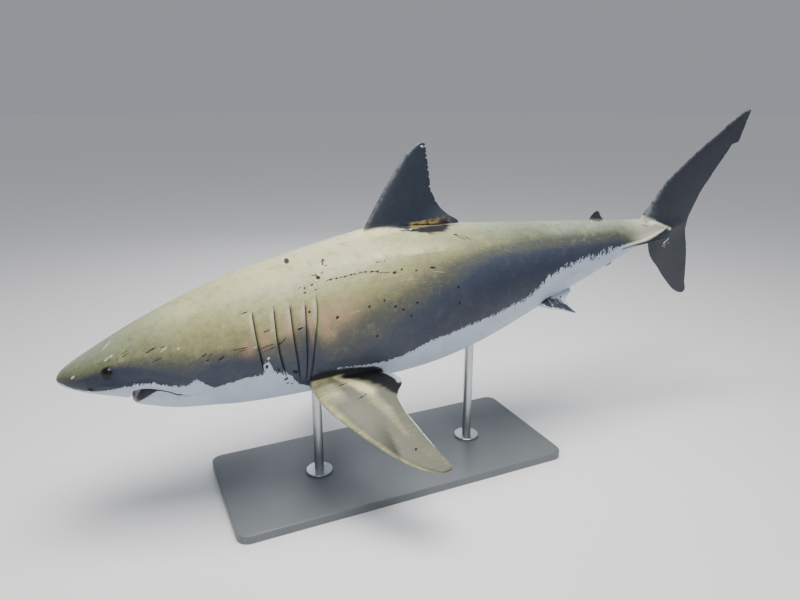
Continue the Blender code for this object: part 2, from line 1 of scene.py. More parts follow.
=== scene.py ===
"""Great white shark, a still life-size display model: its skin, eyes, teeth, stand and stage.

The animal's surface is worked out on a straight body and then bent and placed over the stand, with
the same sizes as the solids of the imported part. On the straight body, lengths are shares of the
total length: s runs back from the snout tip, y to the animal's left, z up. A turn is an angle
round the body from the top, 90 degrees on either flank.
"""
from functools import reduce
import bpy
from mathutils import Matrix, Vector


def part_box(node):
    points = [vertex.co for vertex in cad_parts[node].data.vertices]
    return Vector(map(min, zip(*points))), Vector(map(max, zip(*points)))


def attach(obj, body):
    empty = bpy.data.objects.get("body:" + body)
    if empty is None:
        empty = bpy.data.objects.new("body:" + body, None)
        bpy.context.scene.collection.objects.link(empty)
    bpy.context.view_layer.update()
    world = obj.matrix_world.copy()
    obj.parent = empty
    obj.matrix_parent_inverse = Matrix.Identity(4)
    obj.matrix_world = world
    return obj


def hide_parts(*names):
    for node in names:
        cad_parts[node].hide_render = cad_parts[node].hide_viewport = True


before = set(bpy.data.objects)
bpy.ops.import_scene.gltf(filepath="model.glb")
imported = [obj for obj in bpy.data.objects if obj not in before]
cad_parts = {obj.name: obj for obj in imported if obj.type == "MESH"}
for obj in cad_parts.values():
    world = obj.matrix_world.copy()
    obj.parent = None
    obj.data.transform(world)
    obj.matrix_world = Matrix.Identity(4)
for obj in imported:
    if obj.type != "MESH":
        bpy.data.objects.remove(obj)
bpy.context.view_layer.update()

from types import SimpleNamespace

import bmesh
import bpy
import numpy as np
from bpy.props import FloatProperty, FloatVectorProperty, IntProperty, PointerProperty
from bpy.types import Operator, Panel, PropertyGroup
from mathutils import Matrix, Vector

bl_info = {
    "name": "Great White Shark Display Model",
    "version": (1, 0, 0),
    "blender": (4, 5, 0),
    "location": "View3D > Sidebar > Shark",
    "description": "Builds the skin, eyes, teeth, stand and studio of a life-size shark model",
    "category": "Add Mesh",
}

# ---- pose: how the straight body is laid over the stand ----------------------
HEIGHT = 1.02                # m, centreline above the floor, below the rear of the dorsal fin
NOSE_DOWN = np.radians(6.6)
HEAD_TURN = -1.08            # rad per length squared, ahead of the straight middle
TAIL_TURN = -0.086           # rad per length squared, behind it
TAIL_LIFT = 0.06
STRAIGHT_FROM = 0.35
TAIL_TWIST = np.radians(13.3)
TWIST_SPAN = (0.55, 0.90)
REFERENCE = 0.45             # the share of length that lies HEIGHT over the floor, at OVER_BASE
OVER_BASE = -0.25            # m

# ---- body: share of length, top, underside, half width, level of greatest width ----
STATIONS = ((0, 0, 0, 0, 0), (0.01, 0.0124, 0.01, 0.013, 0), (0.032, 0.0225, 0.0195, 0.0275, -0.001),
            (0.06, 0.034, 0.0285, 0.0405, -0.003), (0.1, 0.0488, 0.044, 0.0535, -0.006),
            (0.15, 0.0637, 0.064, 0.0658, -0.006), (0.21, 0.0775, 0.0752, 0.0758, -0.004),
            (0.28, 0.0865, 0.083, 0.0812, 0), (0.35, 0.0933, 0.09, 0.0828, 0.002),
            (0.41, 0.0945, 0.0933, 0.0816, 0.002), (0.49, 0.0804, 0.0872, 0.0748, 0.002),
            (0.57, 0.0657, 0.0702, 0.0615, 0.002), (0.65, 0.0515, 0.0505, 0.0468, 0.001),
            (0.73, 0.0365, 0.0306, 0.032, 0), (0.79, 0.0252, 0.016, 0.0215, 0),
            (0.83, 0.0195, 0.012, 0.0155, 0), (0.87, 0.013, 0.011, 0.0085, 0))
STEM_END = 0.868
KEEL_WIDTH = 0.0135
KEEL_RISE = (0.745, 0.822)
KEEL_FALL = (0.832, 0.866)
KEEL_LOSS = 0.9              # how much of its width the keel loses there
KEEL_ROUND = 0.26            # how far round the stem it reaches, as the cosine of the turn
STEM_PINCH = 0.35            # how much of its width the stem loses inside the root of the tail
CHIN_DROP = 0.0085
CHIN_SPAN = (0.066, 0.080)
CHIN_FADE = (0.100, 0.160)
ROUND_SIDE = 0.90            # powers that make the cross-section fuller or leaner than an ellipse
ROUND_TOP = 0.95
SNOUT_CALM = 0.012           # the snout's tip has no small forms as far as here

# ---- mouth: a U seen from below; q is s less U_BOW times y squared -----------
U_BOW = 5.5
U_DEEPEST = 0.0215           # most that U_BOW takes off
UPPER_LIP = ((0.0605, -0.04), (0.0632, -0.022), (0.0655, -0.012), (0.0725, -0.0105), (0.08, -0.0115),
             (0.0875, -0.0145), (0.095, -0.0185), (0.1025, -0.0245), (0.15, -0.0255))
LOWER_LIP = ((0.0676, -0.07), (0.0686, -0.037), (0.07, -0.0305), (0.073, -0.0265), (0.0765, -0.023),
             (0.0807, -0.0187), (0.0849, -0.0155), (0.0875, -0.0157), (0.095, -0.0197), (0.1025, -0.0257),
             (0.15, -0.0267))
MOUTH_FRONT = 0.0607         # q of the foremost place between the lips
MOUTH_CORNER = 0.1235
MOUTH_HALF = 0.072           # half width of the space between the lips
HOLLOW_HALF = 0.030          # half width of the palate and of the floor of the mouth
PALATE_RISE = 0.008
FLOOR_DROP = 0.006

# ---- teeth and tongue --------------------------------------------------------
# each row: its lip, q of the middle of the row, y of its last tooth, how far back that one stands,
# and the way the teeth point
TOOTH_ROWS = ((UPPER_LIP, 0.068, 0.032, 0.007, -1), (LOWER_LIP, 0.0718, 0.029, 0.006, 1))
TOOTH_HEIGHT = 0.024         # m, of the foremost tooth
TOOTH_WIDTH = 0.015          # m
TOOTH_SHRINK = 0.5           # how much smaller the last tooth of a row is
TOOTH_FLAT = 0.34            # thickness of a blade for its width
TOOTH_CURVE = 0.18           # how far its tip curves back, as a share of its height
TOOTH_IN_GUM = 0.22          # share of its height that is in the gum
TOOTH_POINT = 0.05           # width of its tip, as a share of its width at the gum
TONGUE_AT = (0.0875, 0.0, -0.0262)
TONGUE_HALF = (0.0105, 0.0170, 0.0034)
TONGUE_TAPER = 0.25          # how much narrower its tip is
TONGUE_RISE = 0.004          # how much its root lies above its middle

# ---- eyes, nostrils and the small forms of the head --------------------------
EYE_AT = 0.0572
EYE_TURN = 68.0
SOCKET_GAP = 0.0004          # m, between a glass eye and its socket
NOSTRIL_AT = 0.0362
NOSTRIL_TURN = 107.0
NOSTRIL_GIRTH = 0.026        # radius of the snout there
NOSTRIL_SLANT = (0.80, 0.60)             # cosine and sine of its slant
NOSTRIL_SLIT = (-0.0095, 0.0130, 0.0046)         # m of rise, half its length, half its width
NOSTRIL_FLAP = (0.0030, 0.0120, -0.0085, 0.0040)     # m of rise, half its length, place, half its width
# swellings: m of rise, share of length, turn, and half of its length and height in m: the brow, the
# pouch below the eye, the jaw muscle, and the slack hollow behind it
SWELLINGS = ((0.0045, EYE_AT + 0.0005, EYE_TURN - 22, 0.040, 0.012),
             (0.0030, EYE_AT, EYE_TURN + 24, 0.034, 0.010),
             (0.006, 0.150, 92, 0.120, 0.060), (-0.004, 0.182, 88, 0.030, 0.120))
# bands: m of rise, m from the eye's middle or a lip's line, and half its width in m
EYE_GROOVE = (-0.0030, 0.027, 0.0045)
EYE_RIM = (0.0012, 0.0175, 0.0040)
JAW_BULGE = (0.0040, 0.016, 0.012)
JAW_FURROW = (-0.0035, 0.046, 0.010)
LOWER_BULGE = (0.0035, -0.016, 0.012)
CORNER_FOLD = (-0.0040, -0.004, 0.005)
FOLD_SLOPE = 1.3             # how steeply the corner's fold runs down to the rear

# ---- pits of the stem just ahead of the tail, and gills ----------------------
PIT_ABOVE = 0.812
PIT_BELOW = 0.823
PIT_HALF = 0.0045
PIT_DEPTH = 0.0085           # m
SLITS = (0.209, 0.230, 0.247, 0.259, 0.269)
SLIT_LINES = (((50, 0.21), (70, 0.208), (102, 0.2085)), ((52, 0.233), (85, 0.228), (112, 0.2315)),
              ((54, 0.25), (78, 0.246), (116, 0.246)), ((56, 0.2665), (87, 0.258), (120, 0.2525)),
              ((53, 0.2805), (71, 0.275), (89, 0.266), (126, 0.256)))
SLIT_FROM = 0.192            # the skin's rows lean with the slits between these two places
SLIT_TO = 0.300
# m behind a slit, and how far the skin stands out there: a flap in front, then the opening
SLIT_SHAPE = ((-0.045, 0), (-0.02, 0.0028), (-0.006, 0.0048), (-0.0012, 0.004), (0.0008, -0.01),
              (0.0035, -0.013), (0.0075, -0.004), (0.012, 0), (0.02, 0))

# ---- fins: outlines as (span, front edge, rear edge) in shares of length -----
EDGE = 0.0011                # m, half the thickness of a rear edge
THICKEST = 0.22              # most that half a fin's thickness may be of its chord
FLARE_FADE = 0.014           # m over which the flare of a root fades
DORSAL = ((-0.012, 0.358, 0.448), (0.0004, 0.3685, 0.451), (0.001, 0.3688, 0.496), (0.006, 0.372, 0.4955),
          (0.0134, 0.3775, 0.4838), (0.023, 0.385, 0.4746), (0.036, 0.395, 0.4684),
          (0.047, 0.4035, 0.4648), (0.052, 0.4076, 0.465), (0.065, 0.4178, 0.4648),
          (0.078, 0.4286, 0.4644), (0.088, 0.438, 0.4638), (0.095, 0.4458, 0.4636),
          (0.0995, 0.4522, 0.4636), (0.1013, 0.4565, 0.4618))
DORSAL_CURL = 0.0100         # how far its free rear tip hangs over to the left
CURL_ALONG = (0.440, 0.490)
CURL_SPAN = (0.000, 0.030)
SECOND_DORSAL = ((-0.005, 0.704, 0.7275), (0.0012, 0.708, 0.729), (0.0018, 0.7084, 0.7362),
                 (0.004, 0.7098, 0.733), (0.0075, 0.712, 0.7288), (0.011, 0.715, 0.7268),
                 (0.0138, 0.7182, 0.7256), (0.0148, 0.7205, 0.724))
ANAL = ((-0.005, 0.718, 0.744), (0.0012, 0.723, 0.746), (0.0018, 0.7235, 0.76), (0.005, 0.7275, 0.758),
        (0.009, 0.736, 0.7575), (0.0125, 0.745, 0.758), (0.0138, 0.75, 0.7575))
TAIL = ((-0.1388, 0.924, 0.93), (-0.137, 0.9185, 0.9325), (-0.132, 0.9105, 0.9318),
        (-0.124, 0.9012, 0.929), (-0.113, 0.891, 0.9258), (-0.1, 0.8798, 0.9234), (-0.085, 0.8675, 0.9204),
        (-0.07, 0.8562, 0.9172), (-0.055, 0.843, 0.9134), (-0.04, 0.8335, 0.9088),
        (-0.025, 0.8285, 0.9032), (-0.012, 0.8262, 0.9), (0.003, 0.826, 0.9002), (0.02, 0.802, 0.9045),
        (0.032, 0.807, 0.9088), (0.05, 0.8205, 0.9158), (0.066, 0.831, 0.9262), (0.08, 0.8432, 0.9345),
        (0.093, 0.8586, 0.9432), (0.105, 0.8738, 0.9512), (0.1135, 0.8856, 0.9562), (0.115, 0.8878, 0.968),
        (0.124, 0.9018, 0.9702), (0.134, 0.9182, 0.9722), (0.144, 0.9336, 0.9742), (0.152, 0.9465, 0.9758),
        (0.1575, 0.9566, 0.9768), (0.1598, 0.9622, 0.9772), (0.1612, 0.9668, 0.9772),
        (0.162, 0.9712, 0.9766))
PECTORAL = ((-0.025, -0.009, 0.066), (-0.0047, -0.004, 0.0708), (0.0078, -0.002, 0.089),
            (0.018, 0, 0.0985), (0.0245, 0.0014, 0.102), (0.0305, 0.0034, 0.1004), (0.04, 0.0074, 0.0915),
            (0.05, 0.0124, 0.0888), (0.0685, 0.0228, 0.0898), (0.088, 0.0346, 0.0936),
            (0.108, 0.0474, 0.0982), (0.125, 0.0602, 0.1028), (0.138, 0.0732, 0.1066),
            (0.1455, 0.0835, 0.1087), (0.1495, 0.0906, 0.1084), (0.1515, 0.0962, 0.1064))
PELVIC = ((-0.026, -0.012, 0.044), (-0.018, -0.008, 0.058), (-0.012, -0.0055, 0.0665),
          (-0.006, -0.003, 0.0575), (0.002, 0.0018, 0.0472), (0.01, 0.0118, 0.0448),
          (0.018, 0.0265, 0.0446), (0.0255, 0.037, 0.0452), (0.029, 0.0415, 0.0455))
PECTORAL_ROOT = (0.2620, 135.0, 32.0)    # share of length, turn, degrees of droop
PELVIC_ROOT = (0.5900, 135.0, 25.0)
# bites out of the rear edges: span, depth, width
DORSAL_NICKS = ((0.0975, 0.003, 0.0012), (0.089, 0.0018, 0.0008), (0.0835, 0.0026, 0.001),
                (0.0745, 0.0015, 0.0007), (0.069, 0.0021, 0.0009), (0.06, 0.0012, 0.0009),
                (0.048, 0.002, 0.0012), (0.042, 0.0011, 0.001), (0.03, 0.0012, 0.0011))
TAIL_NICKS = ((0.1462, 0.0012, 0.001), (0.129, 0.0009, 0.0009), (0.0985, 0.0013, 0.0011),
              (0.073, 0.001, 0.001), (0.044, 0.0008, 0.0012), (-0.048, 0.0009, 0.0012),
              (-0.0905, 0.0011, 0.001), (-0.119, 0.001, 0.0009))
PECTORAL_NICKS = ((0.056, 0.0008, 0.0012), (0.072, 0.0011, 0.001), (0.083, 0.0006, 0.0008),
                  (0.099, 0.001, 0.0012), (0.115, 0.0008, 0.0009), (0.131, 0.0009, 0.001))

FLESH = ("head", "lower_jaw", "gill_region", "trunk_front", "trunk_rear", "tail_stem", "dorsal_fin",
         "second_dorsal_fin", "anal_fin", "tail_lobe_upper", "tail_lobe_lower", "pectoral_fin_left",
         "pectoral_fin_right", "pelvic_fin_left", "pelvic_fin_right")

# ---- fineness of the skin ----------------------------------------------------
HEAD_END = 0.14
HEAD_ROWS, NECK_ROWS, HALF_COLUMNS = 84, 22, 86
FLANK_CLOSER = 9.0           # degrees by which the columns crowd towards the flanks
GILL_STEP = 0.0028
SLIT_EXTRA = (-0.013, -0.003, 0.002)     # m behind a slit, more rows
ROW_GAP = 0.00018            # the closest that two rows may lie
FINER = (0.014, 0.006)       # m from the lips, eyes and nostrils within which the skin is divided
CHORD_STEPS = 22
# places of the skin's materials; the last marks the fins while they are joined to the body
BODY, LINING, FIN = 0, 1, 2


# ---- curves ------------------------------------------------------------------
def spline(xs, ys, x):
    """A natural cubic spline through the points."""
    xs, ys = np.asarray(xs, float), np.asarray(ys, float)
    h = np.diff(xs)
    n = len(xs)
    a, b = np.eye(n), np.zeros(n)
    for i in range(1, n - 1):
        a[i, i - 1:i + 2] = h[i - 1], 2 * (h[i - 1] + h[i]), h[i]
        b[i] = 6 * ((ys[i + 1] - ys[i]) / h[i] - (ys[i] - ys[i - 1]) / h[i - 1])
    m = np.linalg.solve(a, b)
    x = np.clip(np.asarray(x, float), xs[0], xs[-1])
    i = np.clip(np.searchsorted(xs, x, side="right") - 1, 0, n - 2)
    left, right = x - xs[i], xs[i + 1] - x
    return ((m[i] * right ** 3 + m[i + 1] * left ** 3) / (6 * h[i])
            + (ys[i] / h[i] - m[i] * h[i] / 6) * right + (ys[i + 1] / h[i] - m[i + 1] * h[i] / 6) * left)


def eased(xs, ys, x):
    """A smooth line through the points that never swings past them."""
    xs, ys = np.asarray(xs, float), np.asarray(ys, float)
    h, rise = np.diff(xs), np.diff(ys) / np.diff(xs)
    slope = np.zeros(len(xs))
    same = rise[:-1] * rise[1:] > 0
    slope[1:-1][same] = 2 * rise[:-1][same] * rise[1:][same] / (rise[:-1] + rise[1:])[same]
    slope[0], slope[-1] = rise[0], rise[-1]
    x = np.clip(np.asarray(x, float), xs[0], xs[-1])
    i = np.clip(np.searchsorted(xs, x, side="right") - 1, 0, len(xs) - 2)
    t = (x - xs[i]) / h[i]
    return ((1 + 2 * t) * (1 - t) ** 2 * ys[i] + t * (1 - t) ** 2 * h[i] * slope[i]
            + t * t * (3 - 2 * t) * ys[i + 1] + t * t * (t - 1) * h[i] * slope[i + 1])


def ramp(low, high, x):
    """0 up to low, 1 from high on, eased between."""
    t = np.clip((np.asarray(x, float) - low) / (high - low), 0, 1)
    return t * t * (3 - 2 * t)


def fall(low, high, x):
    """1 up to low, 0 from high on, eased between."""
    return 1 - ramp(low, high, x)


def window(low, high, soft, x):
    """1 between low and high, easing to 0 over soft on both sides."""
    return ramp(low - soft, low, x) * fall(high, high + soft, x)


def bump(at, width, x):
    """1 at its place, falling off like a bell over the width."""
    return np.exp(-((x - at) / width) ** 2)


def line(points, x):
    """Straight from each point to the next."""
    return np.interp(x, [p[0] for p in points], [p[1] for p in points])


def most(*values):
    """The greatest of the values at each place."""
    return reduce(np.maximum, values)


# ---- the straight body and its pose ------------------------------------------
def length():
    return bpy.context.scene.shark_body.total_length


def profile(column, s):
    """One of the measures of the stations, such as 1 for the height of the top, at s."""
    xs = np.sqrt([row[0] for row in STATIONS])
    value = spline(xs, [row[column] for row in STATIONS], np.sqrt(np.clip(s, 0, 1)))
    if column == 2:
        value = value + CHIN_DROP * ramp(*CHIN_SPAN, s) * fall(*CHIN_FADE, s)
    return value


def section(s, turn):
    """y and z of the plain body at s, turn radians from the top towards the left."""
    top, under, half, level = (profile(k, s) for k in (1, 2, 3, 4))
    c, n = np.cos(turn), np.sin(turn)
    keel = KEEL_WIDTH * ramp(*KEEL_RISE, s) * (1 - KEEL_LOSS * ramp(*KEEL_FALL, s)) * bump(0, KEEL_ROUND, c)
    half = half * (1 - STEM_PINCH * ramp(*KEEL_FALL, s))
    y = np.sign(n) * (half * np.abs(n) ** ROUND_SIDE + keel)
    reach = np.where(c >= 0, top - level, under + level)
    return y, level + np.sign(c) * reach * np.abs(c) ** ROUND_TOP


def rearwards(yaw, lift):
    """The direction that runs back along the centreline."""
    return np.stack([-np.cos(yaw) * np.cos(lift), -np.sin(yaw) * np.cos(lift), np.sin(lift)], -1)


def centreline():
    """Places along the bent centreline, with its yaw and lift at each."""
    s = np.linspace(0, 1.1, 441)
    ahead, behind = np.clip(STRAIGHT_FROM - s, 0, None), np.clip(s - STRAIGHT_FROM, 0, None)
    yaw = HEAD_TURN * ahead ** 2 + TAIL_TURN * behind ** 2
    lift = TAIL_LIFT * behind ** 2
    back = rearwards(yaw, lift)
    places = np.zeros((len(s), 3))
    places[1:] = np.cumsum((back[1:] + back[:-1]) / 2 * (s[1] - s[0]), 0)
    return s, places, yaw, lift


LINE_S, LINE, LINE_YAW, LINE_LIFT = centreline()
MIDDLE = np.array([np.interp(REFERENCE, LINE_S, LINE[:, k]) for k in range(3)])
DIP, RISE = np.cos(NOSE_DOWN), np.sin(NOSE_DOWN)


def axes(s):
    """The centreline's place at s, and its rearward, leftward and upward directions there."""
    place = np.stack([np.interp(s, LINE_S, LINE[:, k]) for k in range(3)], -1)
    yaw, lift = np.interp(s, LINE_S, LINE_YAW), np.interp(s, LINE_S, LINE_LIFT)
    back = rearwards(yaw, lift)
    side = np.stack([-np.sin(yaw), np.cos(yaw), 0 * yaw], -1)
    up = np.cross(side, back)
    lean = TAIL_TWIST * ramp(*TWIST_SPAN, s)[:, None]
    return place, back, side * np.cos(lean) - up * np.sin(lean), up * np.cos(lean) + side * np.sin(lean)


def posed(s, y, z):
    """Straight-body places, in shares of length, to places over the stand, in metres."""
    place, _, side, up = axes(s)
    out = (place - MIDDLE + np.asarray(y)[:, None] * side + np.asarray(z)[:, None] * up) * length()
    return np.stack([out[:, 0] * DIP + out[:, 2] * RISE + OVER_BASE, out[:, 1],
                     out[:, 2] * DIP - out[:, 0] * RISE + HEIGHT], -1)


def straight(points):
    """Places over the stand back to the straight body: s, y and z."""
    x, y, z = points[:, 0] - OVER_BASE, points[:, 1], points[:, 2] - HEIGHT
    out = np.stack([x * DIP - z * RISE, y, x * RISE + z * DIP], -1) / length() + MIDDLE
    s = np.interp(-out[:, 0], -LINE[:, 0], LINE_S)
    for _ in range(6):
        place, back, _, _ = axes(s)
        s = s + ((out - place) * back).sum(-1)
    place, _, side, up = axes(s)
    return s, ((out - place) * side).sum(-1), ((out - place) * up).sum(-1)


def round_body(s, y, z):
    """Turn in degrees of a place on or near the body, and how far outside the plain body it is."""
    at = np.clip(s, 0.0004, STEM_END)
    top, under, half, level = (profile(k, at) for k in (1, 2, 3, 4))
    up = z - level
    reach = np.where(up >= 0, top - level, under + level)
    c = (np.abs(up) / reach) ** (1 / ROUND_TOP)
    n = (np.abs(y) / half) ** (1 / ROUND_SIDE)
    turn = np.degrees(np.arctan2(n, np.sign(up) * c))
    return turn, (np.hypot(n, c) - 1) * np.sqrt(half * reach) * length()


def girth(s):
    """Mean radius of the body at s, in metres."""
    s = np.clip(s, 0.001, STEM_END)
    return np.sqrt(profile(1, s) * profile(3, s)) * length()


def oval(s, turn, at, at_turn, long=1.0, high=1.0):
    """Distance from a place on the body, in metres or in units of a long by high oval."""
    return np.hypot((s - at) * length() / long, np.radians(turn - at_turn) * girth(at) / high)


def patch(s, turn, at, at_turn, long, high):
    """1 at a place on the body, falling off like a bell over a long by high oval, both in metres."""
    return bump(0, 1, oval(s, turn, at, at_turn, long, high))


def root_frame(root):
    """y, z and the cosine and sine of the droop at a paired fin's root."""
    y, z = section(np.array(root[0]), np.radians(root[1]))
    return y, z, np.cos(np.radians(root[2])), np.sin(np.radians(root[2]))


def droop_axes(root, s, y, z):
    """Span, chord and across of a place seen from a paired fin's root."""
    root_y, root_z, c, n = root_frame(root)
    out, up = np.abs(y) - root_y, z - root_z
    return out * c - up * n, s - root[0], out * n + up * c


# ---- mesh helpers ------------------------------------------------------------
def to_object(name, bm, materials=(), smooth=False):
    """Makes a piece at the origin from a bmesh, which it frees."""
    for face in bm.faces:
        face.smooth = face.smooth or smooth
    mesh = bpy.data.meshes.new(name)
    bm.to_mesh(mesh)
    bm.free()
    obj = bpy.data.objects.new(name, mesh)
    bpy.context.scene.collection.objects.link(obj)
    for made in materials:
        mesh.materials.append(made)
    return obj


def coordinates(mesh):
    co = np.zeros(len(mesh.vertices) * 3)
    mesh.vertices.foreach_get("co", co)
    return co.reshape(-1, 3)


def move_all(bm, points):
    for vert, point in zip(bm.verts, points):
        vert.co = point


def face_outwards(bm):
    """Turns the faces of a closed shape outwards."""
    bmesh.ops.recalc_face_normals(bm, faces=bm.faces)
    if bm.calc_volume(signed=True) < 0:
        bmesh.ops.reverse_faces(bm, faces=bm.faces)


def sheet_of(rows, columns, place, finer=()):
    """A grid laid on the rows and columns given, refined where finer says, and put in place.

    place turns the row and column values of every vertex into points. Each member of finer takes
    the row and column values at the middles of the faces and says which of them to divide.
    """
    bm = bmesh.new()
    bmesh.ops.create_grid(bm, x_segments=len(rows) - 1, y_segments=len(columns) - 1, size=1.0)

    def values(co):
        co = np.array(co)
        return tuple(np.interp((co[:, k] + 1) / 2 * (len(lines) - 1), np.arange(len(lines)), lines)
                     for k, lines in enumerate((rows, columns)))
    for wanted in finer:
        faces = list(bm.faces)
        chosen = wanted(*values([f.calc_center_median()[:] for f in faces]))
        edges = {e for f, c in zip(faces, chosen) if c for e in f.edges}
        bmesh.ops.subdivide_edges(bm, edges=list(edges), cuts=1, use_grid_fill=True)
    move_all(bm, place(*values([v.co[:] for v in bm.verts])))
    bmesh.ops.remove_doubles(bm, verts=bm.verts, dist=1e-6)
    bmesh.ops.dissolve_degenerate(bm, dist=1e-7, edges=bm.edges)
    open_edges = [e for e in bm.edges if e.is_boundary]
    if open_edges:
        bmesh.ops.holes_fill(bm, edges=open_edges, sides=0)
    bmesh.ops.triangulate(bm, faces=[f for f in bm.faces if len(f.verts) > 4])
    face_outwards(bm)
    return bm


def combine(obj, other, operation):
    """Joins or cuts with the other mesh, whose faces keep their material, and removes it."""
    modifier = obj.modifiers.new(operation.lower(), "BOOLEAN")
    modifier.operation = operation
    modifier.solver = "MANIFOLD"
    modifier.material_mode = "TRANSFER"
    modifier.object = other
    result = bpy.data.meshes.new_from_object(obj.evaluated_get(bpy.context.evaluated_depsgraph_get()))
    if len(result.polygons) < len(obj.data.polygons) / 2:
        raise RuntimeError(f"{operation} with {other.name} lost most of {obj.name}")
    obj.modifiers.clear()
    obj.data = result
    bpy.data.objects.remove(other, do_unlink=True)


def soften(obj, seams):
    """Smooths the skin round the seams where fins and the mouth meet the body.

    Each seam gives the other side's material, the rings of points to smooth, and how many times.
    """
    bm = bmesh.new()
    bm.from_mesh(obj.data)
    for other, rings, times in seams:
        edge = {v for e in bm.edges if len(e.link_faces) == 2
                and {f.material_index for f in e.link_faces} == {BODY, other} for v in e.verts}
        chosen = set(edge)
        for _ in range(rings):
            edge = {e.other_vert(v) for v in edge for e in v.link_edges} - chosen
            chosen |= edge
        for _ in range(times):
            bmesh.ops.smooth_vert(bm, verts=list(chosen), factor=0.5, use_axis_x=True, use_axis_y=True,
                                  use_axis_z=True)
    for face in bm.faces:
        if face.material_index == FIN:
            face.material_index = BODY
        face.smooth = True
    bm.to_mesh(obj.data)
    bm.free()


# ---- the shape of the skin ---------------------------------------------------
def outward(s, turn):
    """The direction, as y and z, that the plain body's surface faces in its cross-section."""
    step = 0.02
    y0, z0 = section(s, turn - step)
    y1, z1 = section(s, turn + step)
    dy, dz = y1 - y0, z1 - z0
    size = np.hypot(dy, dz) + 1e-12
    return -dz / size, dy / size


def gill_lean(s, degrees):
    """How far the skin's rows shift back so that they run along the five slits."""
    anchors = np.array([SLIT_FROM, *SLITS, SLIT_TO])
    shifts = [0 * s]
    for at, points in zip(SLITS, SLIT_LINES):
        first, last = points[0][0], points[-1][0]
        turn = np.clip(degrees, first, last)
        away = np.maximum(first - degrees, degrees - last)
        shifts.append((spline([p[0] for p in points], [p[1] for p in points], turn) - at) * fall(2, 35, away))
    shifts = np.array([*shifts, 0 * s])
    i = np.clip(np.searchsorted(anchors, s, side="right") - 1, 0, len(anchors) - 2)
    t = np.clip((s - anchors[i]) / (anchors[i + 1] - anchors[i]), 0, 1)
    here = np.arange(len(s))
    return shifts[i, here] * (1 - t) + shifts[i + 1, here] * t


def gill_relief(s, degrees):
    """Metres that the flaps stand out and the slits sink, shallower towards a slit's two ends."""
    rise = 0 * s
    for at, points in zip(SLITS, SLIT_LINES):
        down = (degrees - points[0][0]) / (points[-1][0] - points[0][0])
        rise = rise + line(SLIT_SHAPE, (s - at) * length()) * ramp(-0.03, 0.10, down) * fall(0.88, 1.03, down)
    return rise


def lip_heights(s, y, z):
    """Metres above the upper lip line, above the lower lip line, and q."""
    q = s - U_BOW * y * y
    return (z - line(UPPER_LIP, q)) * length(), (z - line(LOWER_LIP, q)) * length(), q


def head_relief(s, turn, y, z):
    """Metres that the small forms of the head stand out."""
    above, below, q = lip_heights(s, y, z)
    eye = oval(s, turn, EYE_AT, EYE_TURN)
    rise = sum(up * patch(s, turn, *where) for up, *where in SWELLINGS)
    over_mouth = window(0.068, MOUTH_CORNER, 0.006, q)
    under_mouth = window(0.074, MOUTH_CORNER, 0.006, q)
    at_corner = window(MOUTH_CORNER - 0.002, MOUTH_CORNER + 0.005, 0.006, s)
    for (up, *where), distance, share in (
            (EYE_GROOVE, eye, 1), (EYE_RIM, eye, 1), (JAW_BULGE, above, over_mouth),
            (JAW_FURROW, above, over_mouth * ramp(0.070, 0.085, s)), (LOWER_BULGE, below, under_mouth),
            (CORNER_FOLD, above + (s - MOUTH_CORNER) * FOLD_SLOPE, at_corner)):
        rise = rise + up * bump(*where, distance) * share
    # nostril: a slanted slit with a small flap in front of it
    long = (s - NOSTRIL_AT) * length()
    around = np.radians(turn - NOSTRIL_TURN) * NOSTRIL_GIRTH * length()
    c, n = NOSTRIL_SLANT
    along, across = long * c + around * n, around * c - long * n
    up, half, wide = NOSTRIL_SLIT
    rise = rise + up * np.exp(-(along / half) ** 4) * bump(0, wide, across)
    up, half, ahead, wide = NOSTRIL_FLAP
    return rise + up * bump(0, half, along) * bump(ahead, wide, across)


def tail_relief(s, degrees):
    """Pits above and below the stem just ahead of the tail."""
    return -PIT_DEPTH * (bump(PIT_ABOVE, PIT_HALF, s) * fall(16, 38, degrees)
                         + bump(PIT_BELOW, PIT_HALF, s) * ramp(142, 160, degrees))


def body_surface(row, turn):
    """Places of the skin at its rows and turns: the plain body with its small forms, in its pose."""
    degrees = np.abs(np.degrees(turn))
    y, z = section(row, turn)
    rise = (gill_relief(row, degrees) * (row > 0.18) + tail_relief(row, degrees)
            + head_relief(row, degrees, y, z) * fall(0.185, 0.200, row)) / length()
    rise = rise * ramp(0.0, SNOUT_CALM, row)
    out_y, out_z = outward(row, turn)
    s = row + gill_lean(row, degrees)
    y, z = section(s, turn)
    return posed(s, y + out_y * rise, z + out_z * rise)


def body_rows():
    """Rows of the skin from the snout back: closer on the head, and close along the gill slits."""
    step = bpy.context.scene.shark_body.skin_step / length()
    head = np.linspace(0, np.sqrt(HEAD_END), HEAD_ROWS) ** 2
    neck = np.linspace(HEAD_END, SLIT_FROM, NECK_ROWS)
    slits = [at + d / length() for at in SLITS for d in (*(d for d, _ in SLIT_SHAPE[1:]), *SLIT_EXTRA)]
    between = [r for r in np.arange(SLIT_FROM, SLIT_TO, GILL_STEP)
               if min(abs(r - x) for x in slits) > GILL_STEP / 2]
    rear = np.arange(SLIT_TO, STEM_END, step)
    rows = [*head, *neck[1:], *slits, *between, *rear, STEM_END]
    rows = sorted({round(float(r), 6) for r in rows})
    apart = rows[:1]
    for r in rows[1:]:
        if r - apart[-1] > ROW_GAP:
            apart.append(r)
    return np.array(apart)


def body_columns():
    """Angles round the body, closer on the flanks where the gills, eyes and mouth are."""
    half = 180 * np.linspace(0, 1, HALF_COLUMNS)
    half = half + FLANK_CLOSER * np.sin(np.radians(2 * half))
    return np.radians(np.concatenate([-half[::-1], half[1:]]))


